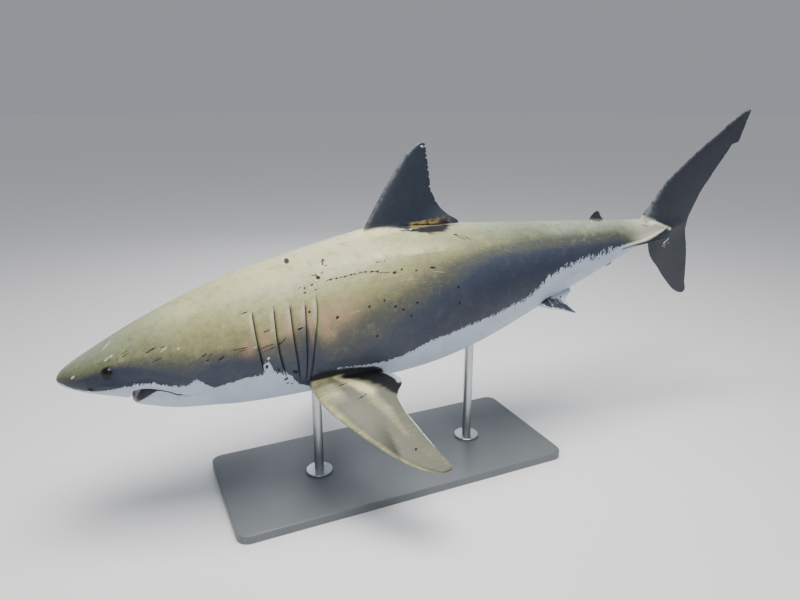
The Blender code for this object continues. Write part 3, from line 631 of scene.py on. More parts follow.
def near_face_features(limit):
    """Picks skin faces within limit metres of the lips, an eye or a nostril."""
    def wanted(row, turn):
        degrees = np.abs(np.degrees(turn))
        above, below, q = lip_heights(row, *section(row, turn))
        lip = np.minimum(np.abs(above), np.abs(below)) < limit
        lip &= (q > 0.058) & (row < 0.130) & (degrees > 85)
        eye = np.abs(oval(row, degrees, EYE_AT, EYE_TURN) - 0.018) < limit
        return lip | eye | (oval(row, degrees, NOSTRIL_AT, NOSTRIL_TURN) < limit + 0.012)
    return wanted


def mouth_cutter(materials):
    """The open space between the lips, with the palate and the floor of the mouth hollowed."""
    bm = bmesh.new()
    bmesh.ops.create_cube(bm, size=2.0)
    bmesh.ops.subdivide_edges(bm, edges=bm.edges, cuts=31, use_grid_fill=True)
    co = np.array([v.co[:] for v in bm.verts])
    q = MOUTH_FRONT + (MOUTH_CORNER - MOUTH_FRONT) * ((co[:, 0] + 1) / 2) ** 1.2
    y = MOUTH_HALF * co[:, 1]
    bow = np.minimum(U_BOW * y * y, U_DEEPEST)
    # past the corner, what is left shrinks to a thousandth so that the space stays closed
    s = np.minimum(q + bow, MOUTH_CORNER - (MOUTH_CORNER - q) * 1e-3)
    q = s - bow
    hollow = np.clip(1 - (np.abs(y) / HOLLOW_HALF) ** 2, 0, 1) * window(0.074, 0.100, 0.006, q)
    top = line(UPPER_LIP, q) + PALATE_RISE * hollow
    low = line(LOWER_LIP, q) - FLOOR_DROP * hollow
    move_all(bm, posed(s, y, low + (top - low) * (co[:, 2] + 1) / 2))
    face_outwards(bm)
    for face in bm.faces:
        face.material_index = LINING
    return to_object("mouth_space", bm, materials)


def eyeball(name, eye, grown, materials):
    """A smooth ball in the place of one of the frame's eyes, its radius grown by some metres."""
    low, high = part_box(eye)
    bm = bmesh.new()
    bmesh.ops.create_uvsphere(bm, u_segments=48, v_segments=24, radius=(high - low).x / 2 + grown)
    bmesh.ops.translate(bm, verts=bm.verts, vec=(low + high) / 2)
    return to_object(name, bm, materials, smooth=True)


# ---- fins --------------------------------------------------------------------
def thickness(c):
    """Half thickness along a fin's chord, 1 at the thickest, round in front and fine behind."""
    return (0.2969 * np.sqrt(c) - 0.1260 * c - 0.3516 * c ** 2 + 0.2843 * c ** 3 - 0.1036 * c ** 4) / 0.1


# how a fin's span, chord and thickness lie on the straight body: s, y and z
def on_back(span, along, across):
    return along, across, profile(1, along) + span


def curled_on_back(span, along, across):
    curl = DORSAL_CURL * ramp(*CURL_ALONG, along) * fall(*CURL_SPAN, span)
    return along, across + curl, profile(1, along) + span


def on_belly(span, along, across):
    return along, across, -profile(2, along) - span


def on_stem(span, along, across):
    return along, across, span


def paired(root, side):
    """Places a fin of a pair at its root, drooping to the side, 1 for the left and -1 for the right."""
    root_y, root_z, c, n = root_frame(root)

    def place(span, along, across):
        return root[0] + along, side * (root_y + span * c + across * n), root_z - span * n + across * c
    return place


def spans_between(outline, step):
    """Span levels at every outline point and at about the step given between them."""
    levels = [outline[0][0]]
    for a, b in zip(outline, outline[1:]):
        count = max(1, int(round((b[0] - a[0]) / step)))
        levels += list(np.linspace(a[0], b[0], count + 1)[1:])
    return np.array(levels)


def fin_edges(outline, span):
    """Where the front and rear edges of a fin lie at a span."""
    return (eased([p[0] for p in outline], [p[k] for p in outline], span) for k in (1, 2))


def fin(name, materials, outline, halves, place, taper, flare, nicks, step):
    """A fin with an airfoil section, a flared root and nicks in its rear edge.

    halves are half thicknesses at the root and the tip as shares of length, taper the span over
    which a tail lobe thins from its root or None, flare in metres how far the root spreads on the
    body, and step the spacing of its levels in shares of length.
    """
    reach = outline[-1][0]
    chord = (1 - np.cos(np.linspace(0, np.pi, CHORD_STEPS))) / 2
    around = np.concatenate([chord, chord[::-1]])

    def surface(span, column):
        j = np.round(column).astype(int)
        c, side = around[j], np.where(j < CHORD_STEPS, 1.0, -1.0)
        front, rear = fin_edges(outline, span)
        for at, depth, width in nicks:
            rear = rear - depth * np.exp(-((span - at) / width) ** 4)
        away = np.abs(span) if taper else np.clip(span, 0, None)
        thinned = 1 - np.exp(-away / taper) if taper else np.clip(span / reach, 0, 1)
        half = np.minimum(halves[0] + (halves[1] - halves[0]) * thinned, THICKEST * (rear - front))
        across = half * thickness(c) + EDGE / length() * (1 - (1 - c) ** 8)
        spread = flare / length() * np.exp(-away * length() / FLARE_FADE) * np.sin(np.pi * c ** 0.8) ** 0.7
        return posed(*place(span, front + (rear - front) * c, (across + spread) * side))
    bm = sheet_of(spans_between(outline, step), np.arange(2 * CHORD_STEPS), surface)
    for face in bm.faces:
        face.material_index = FIN
    return to_object(name, bm, materials)


def all_fins(materials):
    """Every fin, in the order in which they are joined to the body."""
    wanted = [("dorsal", DORSAL, (0.0085, 0.0012), curled_on_back, None, 0.010, DORSAL_NICKS, 0.0011),
              ("second_dorsal", SECOND_DORSAL, (0.0018, 0.0007), on_back, None, 0.003, (), 0.0010),
              ("anal", ANAL, (0.0016, 0.0006), on_belly, None, 0.003, (), 0.0010),
              ("tail", TAIL, (0.0095, 0.0013), on_stem, 0.040, 0.0, TAIL_NICKS, 0.0016)]
    for name, side in (("left", 1), ("right", -1)):
        wanted += [("pectoral_" + name, PECTORAL, (0.0066, 0.0010), paired(PECTORAL_ROOT, side), None, 0.012,
                    PECTORAL_NICKS, 0.0019),
                   ("pelvic_" + name, PELVIC, (0.0026, 0.0007), paired(PELVIC_ROOT, side), None, 0.005,
                    (), 0.0014)]
    return [fin("fin_" + name, materials, *rest) for name, *rest in wanted]


# ---- markings and painted light and shade, as values kept on the skin's points ---
# the line between the dark side and the white belly: share of length, turn in degrees
WHITE_LINE = ((0, 92), (0.007, 94), (0.011, 108), (0.019, 118), (0.035, 116), (0.052, 105), (0.068, 95),
              (0.08, 90), (0.1, 90), (0.115, 96), (0.131, 99), (0.137, 94), (0.142, 92), (0.148, 99),
              (0.155, 105), (0.166, 104), (0.183, 102), (0.188, 100), (0.2078, 102), (0.2096, 94),
              (0.2115, 90.5), (0.2165, 91), (0.2176, 97), (0.2206, 102), (0.2266, 104), (0.2287, 110),
              (0.2293, 97), (0.2312, 104), (0.237, 110), (0.241, 117), (0.246, 124), (0.262, 134),
              (0.28, 130), (0.29, 114), (0.3, 116), (0.337, 120.5), (0.352, 121), (0.372, 119),
              (0.389, 116), (0.409, 112), (0.47, 110), (0.541, 110), (0.564, 109), (0.582, 103),
              (0.598, 95), (0.63, 90), (0.663, 85), (0.7, 86), (0.736, 84), (0.76, 84), (0.775, 92),
              (0.8, 110), (0.812, 135), (0.83, 165), (0.868, 178))
# three lines down each side: where the khaki of the back ends, where it has turned dim olive, and
# where it has turned slate; the pale back and the darkening down the side are partly the animal's own
# colour and partly painted top light and shade
KHAKI_LINE = ((0, 58), (0.02, 60), (0.04, 62), (0.06, 56), (0.08, 56), (0.1, 56), (0.13, 62), (0.164, 70),
              (0.204, 74), (0.225, 76), (0.245, 72), (0.258, 66), (0.267, 69), (0.274, 79), (0.291, 74),
              (0.32, 66), (0.36, 62), (0.4, 56), (0.44, 50), (0.48, 47), (0.52, 42), (0.56, 37), (0.6, 34),
              (0.65, 37), (0.7, 38), (0.74, 40), (0.755, 56), (0.775, 80), (0.868, 82))
OLIVE_LINE = ((0, 80), (0.018, 74), (0.04, 67), (0.06, 61), (0.08, 62), (0.1, 68), (0.13, 75), (0.164, 77),
              (0.184, 79), (0.204, 81), (0.225, 82), (0.245, 78), (0.258, 74), (0.267, 78), (0.275, 88),
              (0.291, 88), (0.31, 84), (0.33, 80), (0.36, 79), (0.4, 73), (0.44, 63), (0.48, 54),
              (0.52, 50), (0.6, 49), (0.65, 50), (0.7, 52), (0.74, 54), (0.755, 66), (0.775, 86),
              (0.868, 84))
SLATE_LINE = ((0, 90), (0.018, 80), (0.04, 71), (0.06, 64), (0.08, 67), (0.1, 77), (0.13, 88), (0.164, 84),
              (0.204, 87), (0.225, 96), (0.245, 100), (0.258, 90), (0.267, 91), (0.276, 108), (0.291, 112),
              (0.33, 106), (0.36, 98), (0.4, 86), (0.44, 80), (0.48, 68), (0.52, 61), (0.6, 61),
              (0.65, 65), (0.7, 68), (0.74, 72), (0.755, 80), (0.775, 92), (0.868, 87))
BELOW_SLATE = 26             # degrees over which the slate deepens
HEAD_DARK = ((0, 0.75), (0.04, 0.8), (0.06, 0.75), (0.08, 0.6), (0.1, 0.5), (0.13, 0.2), (0.16, 0))
# the lower edge of the painted highlight, the brightest part of the back, beside the dorsal fin
CREST_LINE = ((0.3, 33), (0.33, 36), (0.372, 40), (0.415, 43), (0.455, 44), (0.5, 44))
# the dark hollow over the pectoral fin, a black axillary spot deepened by painted shade: its upper edge on
# the body, and how far out it runs on the fin
AXIL_TOP = ((0.25, 124), (0.262, 116), (0.272, 114), (0.287, 115.4), (0.3, 116), (0.318, 119.4),
            (0.3335, 123.3), (0.345, 129.4), (0.3515, 135), (0.36, 146))
AXIL_LOW = 123.5             # degrees, its lower edge on the body ahead of the fin's middle
AXIL_OUT = ((0.32, 0.0015), (0.47, 0.0046), (0.55, 0.009), (0.62, 0.015), (0.68, 0.0224), (0.78, 0.0321),
            (0.9, 0.0385), (1, 0.043))
FIN_ROOT = (0.262, 0.352)    # where the pectoral fin's colour runs in to the body
# the painted highlight along a pectoral fin's upper side: span, and share of the chord where it lies
PECTORAL_CREST = ((0, 0.33), (0.007, 0.42), (0.017, 0.48), (0.027, 0.54), (0.038, 0.63), (0.06, 0.72),
                  (0.1, 0.69), (0.15, 0.66))
# the painted cast shadow band along the left side of the dorsal fin's base, the dark foot of the fin
# ahead of it, painted shade, and the painted sunlit strip above the band
BAND_TOP = ((0.405, 13.2), (0.42, 13), (0.43, 11.5), (0.44, 9.5), (0.455, 6.5), (0.47, 5.5), (0.478, 4))
BAND_LOW = ((0.405, 13.4), (0.41, 14.6), (0.422, 17.3), (0.431, 19.9), (0.443, 22.3), (0.458, 21),
            (0.468, 19), (0.475, 14), (0.481, 7), (0.486, 3))
BAND = (0.409, 0.484)
FIN_FOOT = ((0.375, 2), (0.395, 5), (0.406, 7.5), (0.418, 12), (0.424, 12), (0.431, 8), (0.437, 0))
SUNLIT_STRIP = (0.428, 0.482)
# how far up the fin the painted sunlit strip goes
SUNLIT_STRIP_RISE = ((0.43, 0), (0.44, 0.0046), (0.457, 0.0066), (0.47, 0.0098), (0.481, 0.01))
TAIL_WEDGE = 0.862           # share of length where the stem's colour ends in a point on the tail
TAIL_NOTCH = 1.9             # how fast that point widens
# below this line, in degrees, the stem's keel is dark with painted shade on its underside
KEEL_LINE = ((0.745, 90), (0.775, 88), (0.792, 86), (0.805, 83), (0.818, 80.5), (0.832, 77), (0.85, 70))

# Small marks on the left side, each (place, place, long, wide, slant): on the body the places are
# share of length and turn in degrees, on a fin share of length and share of length out from the
# body; long and wide are in mm, and the slant in degrees turns the long way towards the belly.
SCARS = ((0.0208, 66, 20, 12, 0), (0.06, 15.5, 60, 6, -34), (0.0614, 44.4, 50, 5, -6),
         (0.1175, 56, 30, 3, 3), (0.1163, 57.9, 36, 3, 4), (0.131, 60.5, 10, 7, 0),
         (0.2043, 77.3, 22, 4, 4), (0.2161, 88.2, 15, 13, 0), (0.2256, 69.3, 18, 5, 8),
         (0.256, 73, 26, 6, 10), (0.4225, 13.4, 14, 13, 0), (0.711, 4, 20, 10, 0), (0.596, 103, 22, 8, 0),
         (0.2866, 41.2, 14, 7, 20), (0.2835, 44.4, 9, 6, 0), (0.2648, 5, 18, 60, 0),
         (0.277, 45.6, 9, 6, 0))
# painted highlights: thin streaks of sheen along the flank
HIGHLIGHT_STREAKS = ((0.342, 51, 90, 5, 4), (0.37, 56, 120, 7, 6), (0.39, 62, 110, 6, 8), (0.318, 74, 90, 6, 6),
          (0.43, 61, 90, 6, 8), (0.335, 50, 130, 4, 2))
WOUNDS = ((0.078, 45, 44, 4, 4), (0.079, 48.5, 40, 4, 4), (0.104, 53.5, 52, 8, 4), (0.1165, 54, 30, 5, 4),
          (0.1541, 73, 24, 6, -6), (0.1605, 73.8, 22, 5, -6), (0.156, 78, 18, 6, 10),
          (0.108, 66, 50, 5, 8), (0.17, 79, 34, 9, 0), (0.189, 75.6, 90, 5, 14), (0.192, 77.4, 60, 4, 10),
          (0.2145, 79.6, 100, 5, 4), (0.219, 82, 60, 4, 2), (0.234, 78.8, 50, 6, -22),
          (0.2201, 68.4, 30, 6, 4), (0.2553, 73.7, 32, 12, 0), (0.203, 48.6, 44, 5, 10),
          (0.269, 64, 15, 13, 0), (0.2895, 39.2, 25, 24, 0), (0.288, 36.4, 22, 7, 40),
          (0.2848, 36, 18, 7, 50), (0.2662, 8.4, 30, 70, 8), (0.296, 35.8, 24, 6, -28),
          (0.301, 26.3, 10, 44, 8), (0.3032, 23.6, 9, 30, -14), (0.3035, 30.5, 14, 7, 0),
          (0.28, 43.6, 14, 9, 0), (0.272, 44.6, 9, 16, 30), (0.27, 48.6, 14, 10, 20),
          (0.2825, 48.4, 18, 7, -10), (0.266, 43, 16, 7, 0), (0.302, 44.3, 80, 4, 4),
          (0.32, 45.6, 90, 4, 4), (0.34, 46.8, 90, 4, 5), (0.353, 48.8, 60, 5, 8), (0.8015, 36, 60, 7, 20),
          (0.3018, 44.2, 17, 11, 0), (0.309, 45, 15, 11, 0), (0.314, 45.3, 10, 9, 0),
          (0.3191, 45.7, 17, 11, 0), (0.326, 45.8, 18, 11, 0), (0.33, 46, 14, 10, 0),
          (0.3372, 46.2, 17, 11, 0), (0.343, 47, 14, 10, 0), (0.35, 48.2, 16, 11, 0),
          (0.3567, 49.5, 19, 12, 0), (0.364, 51.8, 70, 5, 14), (0.3759, 54, 24, 17, 0),
          (0.3854, 53.1, 16, 12, 0), (0.4032, 56.7, 16, 12, 0), (0.4246, 57.1, 38, 14, 0),
          (0.36, 41.8, 12, 9, 0), (0.3645, 42.1, 12, 9, 0), (0.3695, 42.6, 12, 9, 0),
          (0.4765, 25.6, 26, 20, 0), (0.481, 30, 70, 9, 42), (0.485, 28, 60, 6, 42),
          (0.491, 32, 36, 9, 50), (0.3363, 73.2, 16, 14, 0), (0.3553, 72.1, 14, 12, 0),
          (0.3671, 78.4, 18, 14, 0), (0.3763, 82.1, 15, 12, 0), (0.3853, 87.7, 15, 11, 0),
          (0.2976, 74.1, 19, 14, 0), (0.4531, 76.2, 17, 14, 0), (0.4516, 88.5, 16, 14, 0),
          (0.34, 95, 16, 13, 0), (0.395, 80, 16, 10, 0), (0.231, 112, 26, 18, 0), (0.233, 118, 18, 14, 0),
          (0.237, 120, 14, 12, 0), (0.242, 106, 34, 22, 40), (0.2129, 94.6, 15, 24, 0),
          (0.2245, 99.5, 16, 12, 0))
DORSAL_SCARS = ((0.4578, 0.0972, 20, 12, 0), (0.4215, 0.001, 20, 16, 0))
PECTORAL_WOUNDS = ((0.0465, 0.0345, 84, 4, -14), (0.079, 0.1158, 14, 12, 0), (0.033, 0.012, 60, 4, -10))
TAIL_SCARS = ((0.856, -0.024, 40, 13, 50), (0.861, -0.02, 28, 11, 60), (0.857, -0.029, 20, 9, 20),
              (0.854, -0.03, 10, 8, 0), (0.859, -0.033, 9, 7, 0), (0.864, -0.027, 8, 7, 0))
MARK_RIM = 0.28              # share of a mark's half size over which its rim fades
# the flat lay that the marks are drawn on has the body and each fin on a level of its own
LEVELS = {"body": 0.0, "pectoral": 2.0, "dorsal": 4.0, "tail": 5.0}
LEVEL_REACH = 0.05           # how far a mark reaches off its level
# where each fin stands: share of length from and to, the softness of both, and between which turns
FIN_PLACES = {"dorsal": (0.35, 0.52, 0.001, -1, 60), "second_dorsal": (0.70, 0.745, 0.001, -1, 60),
              "anal": (0.70, 0.77, 0.001, 120, 181), "pectoral": (0.245, 0.375, 0.002, 95, 181),
              "pelvic": (0.575, 0.665, 0.002, 95, 181)}
# flushed skin round the gills: share of length, turn, half its length and height in m, strength
FLUSHES = ((0.198, 75, 0.030, 0.038, 1), (0.217, 73, 0.030, 0.040, 1), (0.243, 69, 0.030, 0.050, 1),
           (0.266, 66, 0.010, 0.110, 1), (0.283, 72, 0.028, 0.060, 1), (0.286, 83, 0.034, 0.034, 1),
           (0.305, 72, 0.085, 0.062, 0.75))
# how deeply the border of the white belly is torn, along the body
FRINGE = ((0, 0.04), (0.12, 0.12), (0.24, 0.3), (0.35, 0.25), (0.5, 0.4), (0.6, 1), (0.725, 1), (0.748, 0.05))
# the values kept on the points for the skin's paint
KEPT = ("belly_edge", "tone", "dark_fin", "pectoral", "fin_light", "flush", "head", "rear", "shade", "stain",
        "dark", "pale", "light", "rim", "fringe")


def fin_places(s, y, z, turn, out):
    """How much each place belongs to a fin, and where it is on that fin."""
    off = ramp(0.004, 0.022, out)
    places = {name: off * window(first, last, soft, s) * (turn > low) * (turn < high)
              for name, (first, last, soft, low, high) in FIN_PLACES.items()}
    places["tail"] = ramp(-0.003, 0.003, s - TAIL_WEDGE + TAIL_NOTCH * np.abs(z)) * (s > 0.79)
    for name, root in (("pectoral", PECTORAL_ROOT), ("pelvic", PELVIC_ROOT)):
        places[name + "_axes"] = droop_axes(root, s, y, z)
    return places


def paired_fin(outline, on, name):
    """How far out on a paired fin each place is, its share of the chord, and 1 on the upper side."""
    span, along, across = on[name + "_axes"]
    front, rear = fin_edges(outline, span)
    share = np.clip((along - front) / np.maximum(rear - front, 0.004), 0, 1)
    return span, share, ramp(-0.0006, 0.0006, across)


def survey(mesh):
    """Where every point of the skin lies on the animal: along and round its body, and on its fins."""
    at = SimpleNamespace()
    at.s, at.y, at.z = straight(coordinates(mesh))
    at.turn, at.out = round_body(at.s, at.y, at.z)
    at.on = fin_places(at.s, at.y, at.z, at.turn, at.out)
    at.single = np.clip(at.on["dorsal"] + at.on["second_dorsal"] + at.on["anal"], 0, 1)
    at.span, at.share, at.upper = paired_fin(PECTORAL, at.on, "pectoral")
    at.below = ramp(-1.2, 1.2, at.turn - line(AXIL_TOP, at.s))
    at.root = (window(*FIN_ROOT, 0.004, at.s) * ramp(AXIL_LOW - 1, AXIL_LOW + 2, at.turn) * (at.turn < 142)
               * at.upper * at.below)
    at.pectoral = np.maximum(at.on["pectoral"], at.root * (at.span < 0.02))
    at.wedge = window(0.009, 0.027, 0.003, at.span)
    at.height = at.z - profile(1, np.clip(at.s, 0, 1))
    at.keel = at.turn - line(KEEL_LINE, at.s)
    at.stem = 1 - at.on["tail"]
    at.gills = window(0.200, 0.290, 0.004, at.s) * window(47, 130, 3, at.turn)
    return at


def belly_edge(at):
    """Metres above the white belly's edge; negative places are white."""
    edge = np.radians(line(WHITE_LINE, at.s) - at.turn) * girth(at.s)
    # a patch of dark skin at the front root of the pelvic fins
    edge = edge + (0.012 - edge) * ramp(0.35, 0.60, patch(at.s, at.turn, 0.604, 131.5, 0.062, 0.026))
    # pectoral fins: white below but for the tip and rear rim, dark above but for a wedge and thin rim
    span, share = at.span, at.share
    under = -0.2 + 0.4 * ramp(0.128, 0.140, span) + 0.4 * ramp(0.96, 0.985, share) * ramp(0.03, 0.06, span)
    white = most(at.wedge * ramp(0.925, 0.945, share),
                 window(0.040, 0.115, 0.010, span) * ramp(0.968, 0.988, share))
    on = at.on["pectoral"]
    edge = edge * (1 - on) + np.where(at.upper > 0.5, 0.2 - 0.4 * white, under) * on
    span, share, upper = paired_fin(PELVIC, at.on, "pelvic")
    above = (0.006 + 0.016 * ramp(0.0, 0.03, span) - 0.055 * ramp(0.76, 0.95, share)
             - 0.060 * fall(0.02, 0.12, share) * ramp(-0.02, 0.0, span))
    on = at.on["pelvic"]
    edge = edge * (1 - on) + np.where(upper > 0.5, above, -0.2) * on
    for on, dark in ((at.single, 0.3), (at.on["tail"], 0.3), (at.root, 0.2)):
        edge = edge * (1 - on) + dark * on
    return edge


def side_tone(s, turn):
    """How far down its side each place is: 0 on the back, 1 khaki, 2 olive, 3 slate, 4 deepest, partly
    painted light and shade.
    """
    edges = [0 * s] + [line(points, s) for points in (KHAKI_LINE, OLIVE_LINE, SLATE_LINE)]
    edges.append(edges[-1] + BELOW_SLATE)
    return sum(np.clip((turn - low) / (high - low), 0, 1) for low, high in zip(edges, edges[1:]))


def painted_pectoral_light(span, share):
    """Painted light and shade on a pectoral fin's upper side: lit front band and crest, shaded hollow
    between, paler rear.
    """
    crest = bump(line(PECTORAL_CREST, span), 0.09 + 1.5 * np.clip(span, 0, 0.05), share)
    crest = crest * (1.25 - 0.50 * ramp(0.022, 0.044, span) - 0.30 * ramp(0.05, 0.12, span))
    root = most(0.55 * fall(0.012, 0.035, span), 0.85 * fall(0.22, 0.42, share) * fall(0.020, 0.050, span))
    return most(crest, root, 0.8 * fall(0.05, 0.17, share), 0.45 * ramp(0.5, 0.8, share), 0.30)


def axil_shade(at):
    """Painted shade and the black axillary spot in the hollow over the pectoral fin: on the body ahead and
    behind, and on the fin itself.
    """
    on = at.on["pectoral"]
    ahead = at.below * fall(AXIL_LOW - 1, AXIL_LOW + 2, at.turn) * window(0.256, 0.318, 0.006, at.s)
    behind = at.below * window(0.300, 0.352, 0.004, at.s) * (at.turn < 150) * (1 - on) * at.upper
    outwards = (at.pectoral * at.upper * fall(-0.0015, 0.0020, at.span - line(AXIL_OUT, at.share))
                * ramp(0.30, 0.40, at.share))
    return most(ahead, behind, outwards) * (1 - on * at.upper * at.wedge * ramp(0.925, 0.945, at.share))


def dorsal_base(at):
    """The painted cast shadow band and painted sunlit strip left of the dorsal fin's base, and its dark foot,
    painted shade.
    """
    s, turn = at.s, at.turn
    near_left = at.y > -0.006 * window(0.436, 0.470, 0.010, s)
    from_top = turn - line(BAND_TOP, s)
    band = ramp(-0.7, 0.7, from_top) * fall(-0.7, 0.7, turn - line(BAND_LOW, s)) * window(*BAND, 0.0015, s)
    stain = (fall(-0.7, 0.7, from_top) * (1 - at.single)
             + at.on["dorsal"] * fall(-0.0008, 0.0008, at.height - line(SUNLIT_STRIP_RISE, s)))
    stain = stain * window(*SUNLIT_STRIP, 0.0015, s) * (turn < 30)
    foot = (fall(-0.9, 0.9, turn - line(FIN_FOOT, s) * np.where(at.y > 0, 1.0, 0.35))
            * window(0.375, 0.437, 0.004, s))
    return band * near_left, stain * near_left, foot


def painted_recess_shade(at):
    """Painted shade, nearly black: the slits' depths, the pit ahead of the tail, round the eyes, the nostrils
    and the keel line.
    """
    depth = np.clip(-at.out, 0, None)
    return most(at.gills * ramp(0.0042, 0.0090, depth),
                0.8 * bump(PIT_ABOVE, 0.005, at.s) * (at.turn < 40) * ramp(0.002, 0.006, depth),
                fall(0.021, 0.031, oval(at.s, at.turn, EYE_AT, EYE_TURN)),
                1.3 * patch(at.s, at.turn, NOSTRIL_AT + 0.001, NOSTRIL_TURN, 0.015, 0.012),
                0.8 * window(1.0, 5.0, 1.0, at.keel) * window(0.752, 0.850, 0.008, at.s))


def paled(at):
    """Pale places: the slits' lips, the keel's rim, and the end of the stem where it meets the tail."""
    s, turn = at.s, at.turn
    from_wedge = TAIL_WEDGE - TAIL_NOTCH * np.abs(at.z) - s
    return most(at.gills * bump(0.0046, 0.0013, at.out) * fall(58, 84, turn) * 0.35,
                0.9 * bump(-3.5, 3.5, at.keel) * window(0.758, 0.845, 0.010, s),
                0.45 * ramp(0.755, 0.800, s) * fall(84, 92, turn) * at.stem * fall(0.5, 2.0, at.keel),
                fall(0.003, 0.010, from_wedge) * (at.z > -0.001) * at.stem * (s > 0.80) * (s < 0.858),
                window(0.812, 0.836, 0.004, s) * fall(30, 52, turn) * at.stem)


def top_highlight(at):
    """Painted highlight where the top of the back is brightest."""
    s, turn = at.s, at.turn
    from_crest = turn - line(CREST_LINE, s)
    return most(ramp(-15, -1, from_crest) * fall(-0.6, 1.2, from_crest) * window(0.335, 0.44, 0.05, s) * 0.8,
                window(0.355, 0.412, 0.012, s) * fall(13, 17, turn) * (1 - at.single),
                0.6 * window(0.15, 0.34, 0.06, s) * fall(24, 38, turn),
                0.6 * window(0.64, 0.80, 0.05, s) * fall(22, 48, turn) * (1 - at.single))


def front_rims(at):
    """The paler front edges of the dorsal fin and of the tail's upper lobe."""
    dorsal, _ = fin_edges(DORSAL, at.height)
    tail, _ = fin_edges(TAIL, at.z)
    return most(0.55 * at.on["dorsal"] * bump(dorsal, 0.0030, at.s),
                at.on["tail"] * bump(tail, 0.0040 + 0.010 * fall(0.02, 0.06, at.z), at.s) * (at.z > 0.01)
                * (1 - 0.5 * ramp(0.04, 0.12, at.z)))


def paint(mesh):
    """Works out where every point of the skin lies on the animal, and keeps its markings and painted light
    and shade on it.
    """
    at = survey(mesh)
    s, turn = at.s, at.turn
    tone = side_tone(s, turn)
    band, stain, foot = dorsal_base(at)
    # painted shade on the underside of the stem's keel
    under_keel = window(1.0, 6.0 + 40 * ramp(0.76, 0.80, s), 1.0, at.keel) * window(0.752, 0.866, 0.008, s)
    flush = most(*(strength * patch(s, turn, *where) for *where, strength in FLUSHES))
    values = {"belly_edge": belly_edge(at), "tone": tone,
              "dark_fin": np.clip(at.single + foot + at.on["tail"] + at.on["pelvic"] + under_keel, 0, 1),
              "pectoral": at.pectoral * at.upper, "fin_light": painted_pectoral_light(at.span, at.share),
              "flush": flush * (1 - at.pectoral), "head": line(HEAD_DARK, s) * fall(1.3, 2.6, tone),
              "rear": ramp(0.36, 0.62, s) * fall(1.5, 2.6, tone), "shade": most(axil_shade(at), band),
              "stain": stain, "dark": painted_recess_shade(at), "pale": paled(at), "light": top_highlight(at),
              "rim": front_rims(at), "fringe": line(FRINGE, s),
              "gum": fall(0.002, 0.012, lip_heights(s, at.y, at.z)[1])}
    for name, value in values.items():
        made = mesh.attributes.new(name, "FLOAT", "POINT")
        made.data.foreach_set("value", np.asarray(value, np.float32))

    # a flat lay of the skin for its small marks; each fin has a level of its own, a pectoral fin's
    # underside the next one, and the right side's are negative
    lay = np.stack([s * length(), np.radians(turn) * girth(s) * np.sign(at.y), 0 * s], -1)
    span, along, _ = at.on["pectoral_axes"]
    for name, level, forward, outwards in (("pectoral", LEVELS["pectoral"] + (at.upper < 0.5), along, span),
                                           ("dorsal", LEVELS["dorsal"], s, at.height),
                                           ("tail", LEVELS["tail"], s, at.z)):
        there = at.on[name] > 0.5
        levels = np.where(at.y > 0, level, -1.0 * level)
        lay[there] = np.stack([forward * length(), outwards * length(), levels], -1)[there]
    made = mesh.attributes.new("lay", "FLOAT_VECTOR", "POINT")
    made.data.foreach_set("vector", lay.astype(np.float32).ravel())


# ---- materials ---------------------------------------------------------------
# which of a node's settings the second word of its kind is for
MODES = {"Math": "operation", "VectorMath": "operation", "Mix": "blend_type", "Attribute": "attribute_name",
         "MapRange": "interpolation_type", "Mapping": "vector_type", "TexGradient": "gradient_type"}


def rgba(colour):
    """Linear colour of an sRGB hex code, or of a colour from the settings, with full alpha."""
    if not isinstance(colour, str):
        return (*colour, 1.0)
    parts = [int(colour[i:i + 2], 16) / 255 for i in (1, 3, 5)]
    return (*(p / 12.92 if p <= 0.04045 else ((p + 0.055) / 1.055) ** 2.4 for p in parts), 1.0)


def fill(tree, socket, value):
    """Gives a socket a number, a vector, a colour code, another socket, or a node's first output."""
    if isinstance(value, str):
        value = rgba(value)
    if isinstance(value, bpy.types.Node):
        value = next(output for output in value.outputs if output.enabled)
    if isinstance(value, bpy.types.NodeSocket):
        tree.links.new(value, socket)
    elif value is not None:
        socket.default_value = value


def add(tree, kind, *values, stops=(), **settings):
    """Adds a node such as "Math MULTIPLY" and fills its inputs in order; None leaves one as it is.

    stops are the places and colours of a colour ramp, the first at 0 and the last at 1.
    """
    kind, _, mode = kind.partition(" ")
    made = tree.nodes.new("ShaderNode" + kind)
    if kind == "Mix":
        settings["data_type"] = "RGBA"
    if mode:
        settings[MODES[kind]] = mode
    for key, value in settings.items():
        setattr(made, key, value)
    for socket, value in zip([i for i in made.inputs if i.enabled], values):
        fill(tree, socket, value)
    if stops:
        elements = made.color_ramp.elements
        for at, _ in stops[1:-1]:
            elements.new(at)
        for element, (_, colour) in zip(elements, stops):
            element.color = rgba(colour)
    return made


def new_material(name):
    """A material with its node tree and the places on the model that its patterns follow."""
    made = bpy.data.materials.new(name)
    made.use_nodes = True
    return made, made.node_tree, add(made.node_tree, "TexCoord").outputs["Object"]


def finish(made, colour, roughness, ior=1.5, metallic=0.0, relief=None, strength=1.0, height=1.0):
    """Gives a material's shader its colour, gloss and fine relief, height metres for 1 of the relief."""
    tree = made.node_tree
    sockets = tree.nodes["Principled BSDF"].inputs
    normal = None
    if relief:
        normal = add(tree, "Bump")
        for name, value in (("Strength", strength), ("Distance", height), ("Height", relief)):
            fill(tree, normal.inputs[name], value)
    for name, value in (("Base Color", colour), ("Roughness", roughness), ("IOR", ior),
                        ("Metallic", metallic), ("Normal", normal)):
        fill(tree, sockets[name], value)
    return made


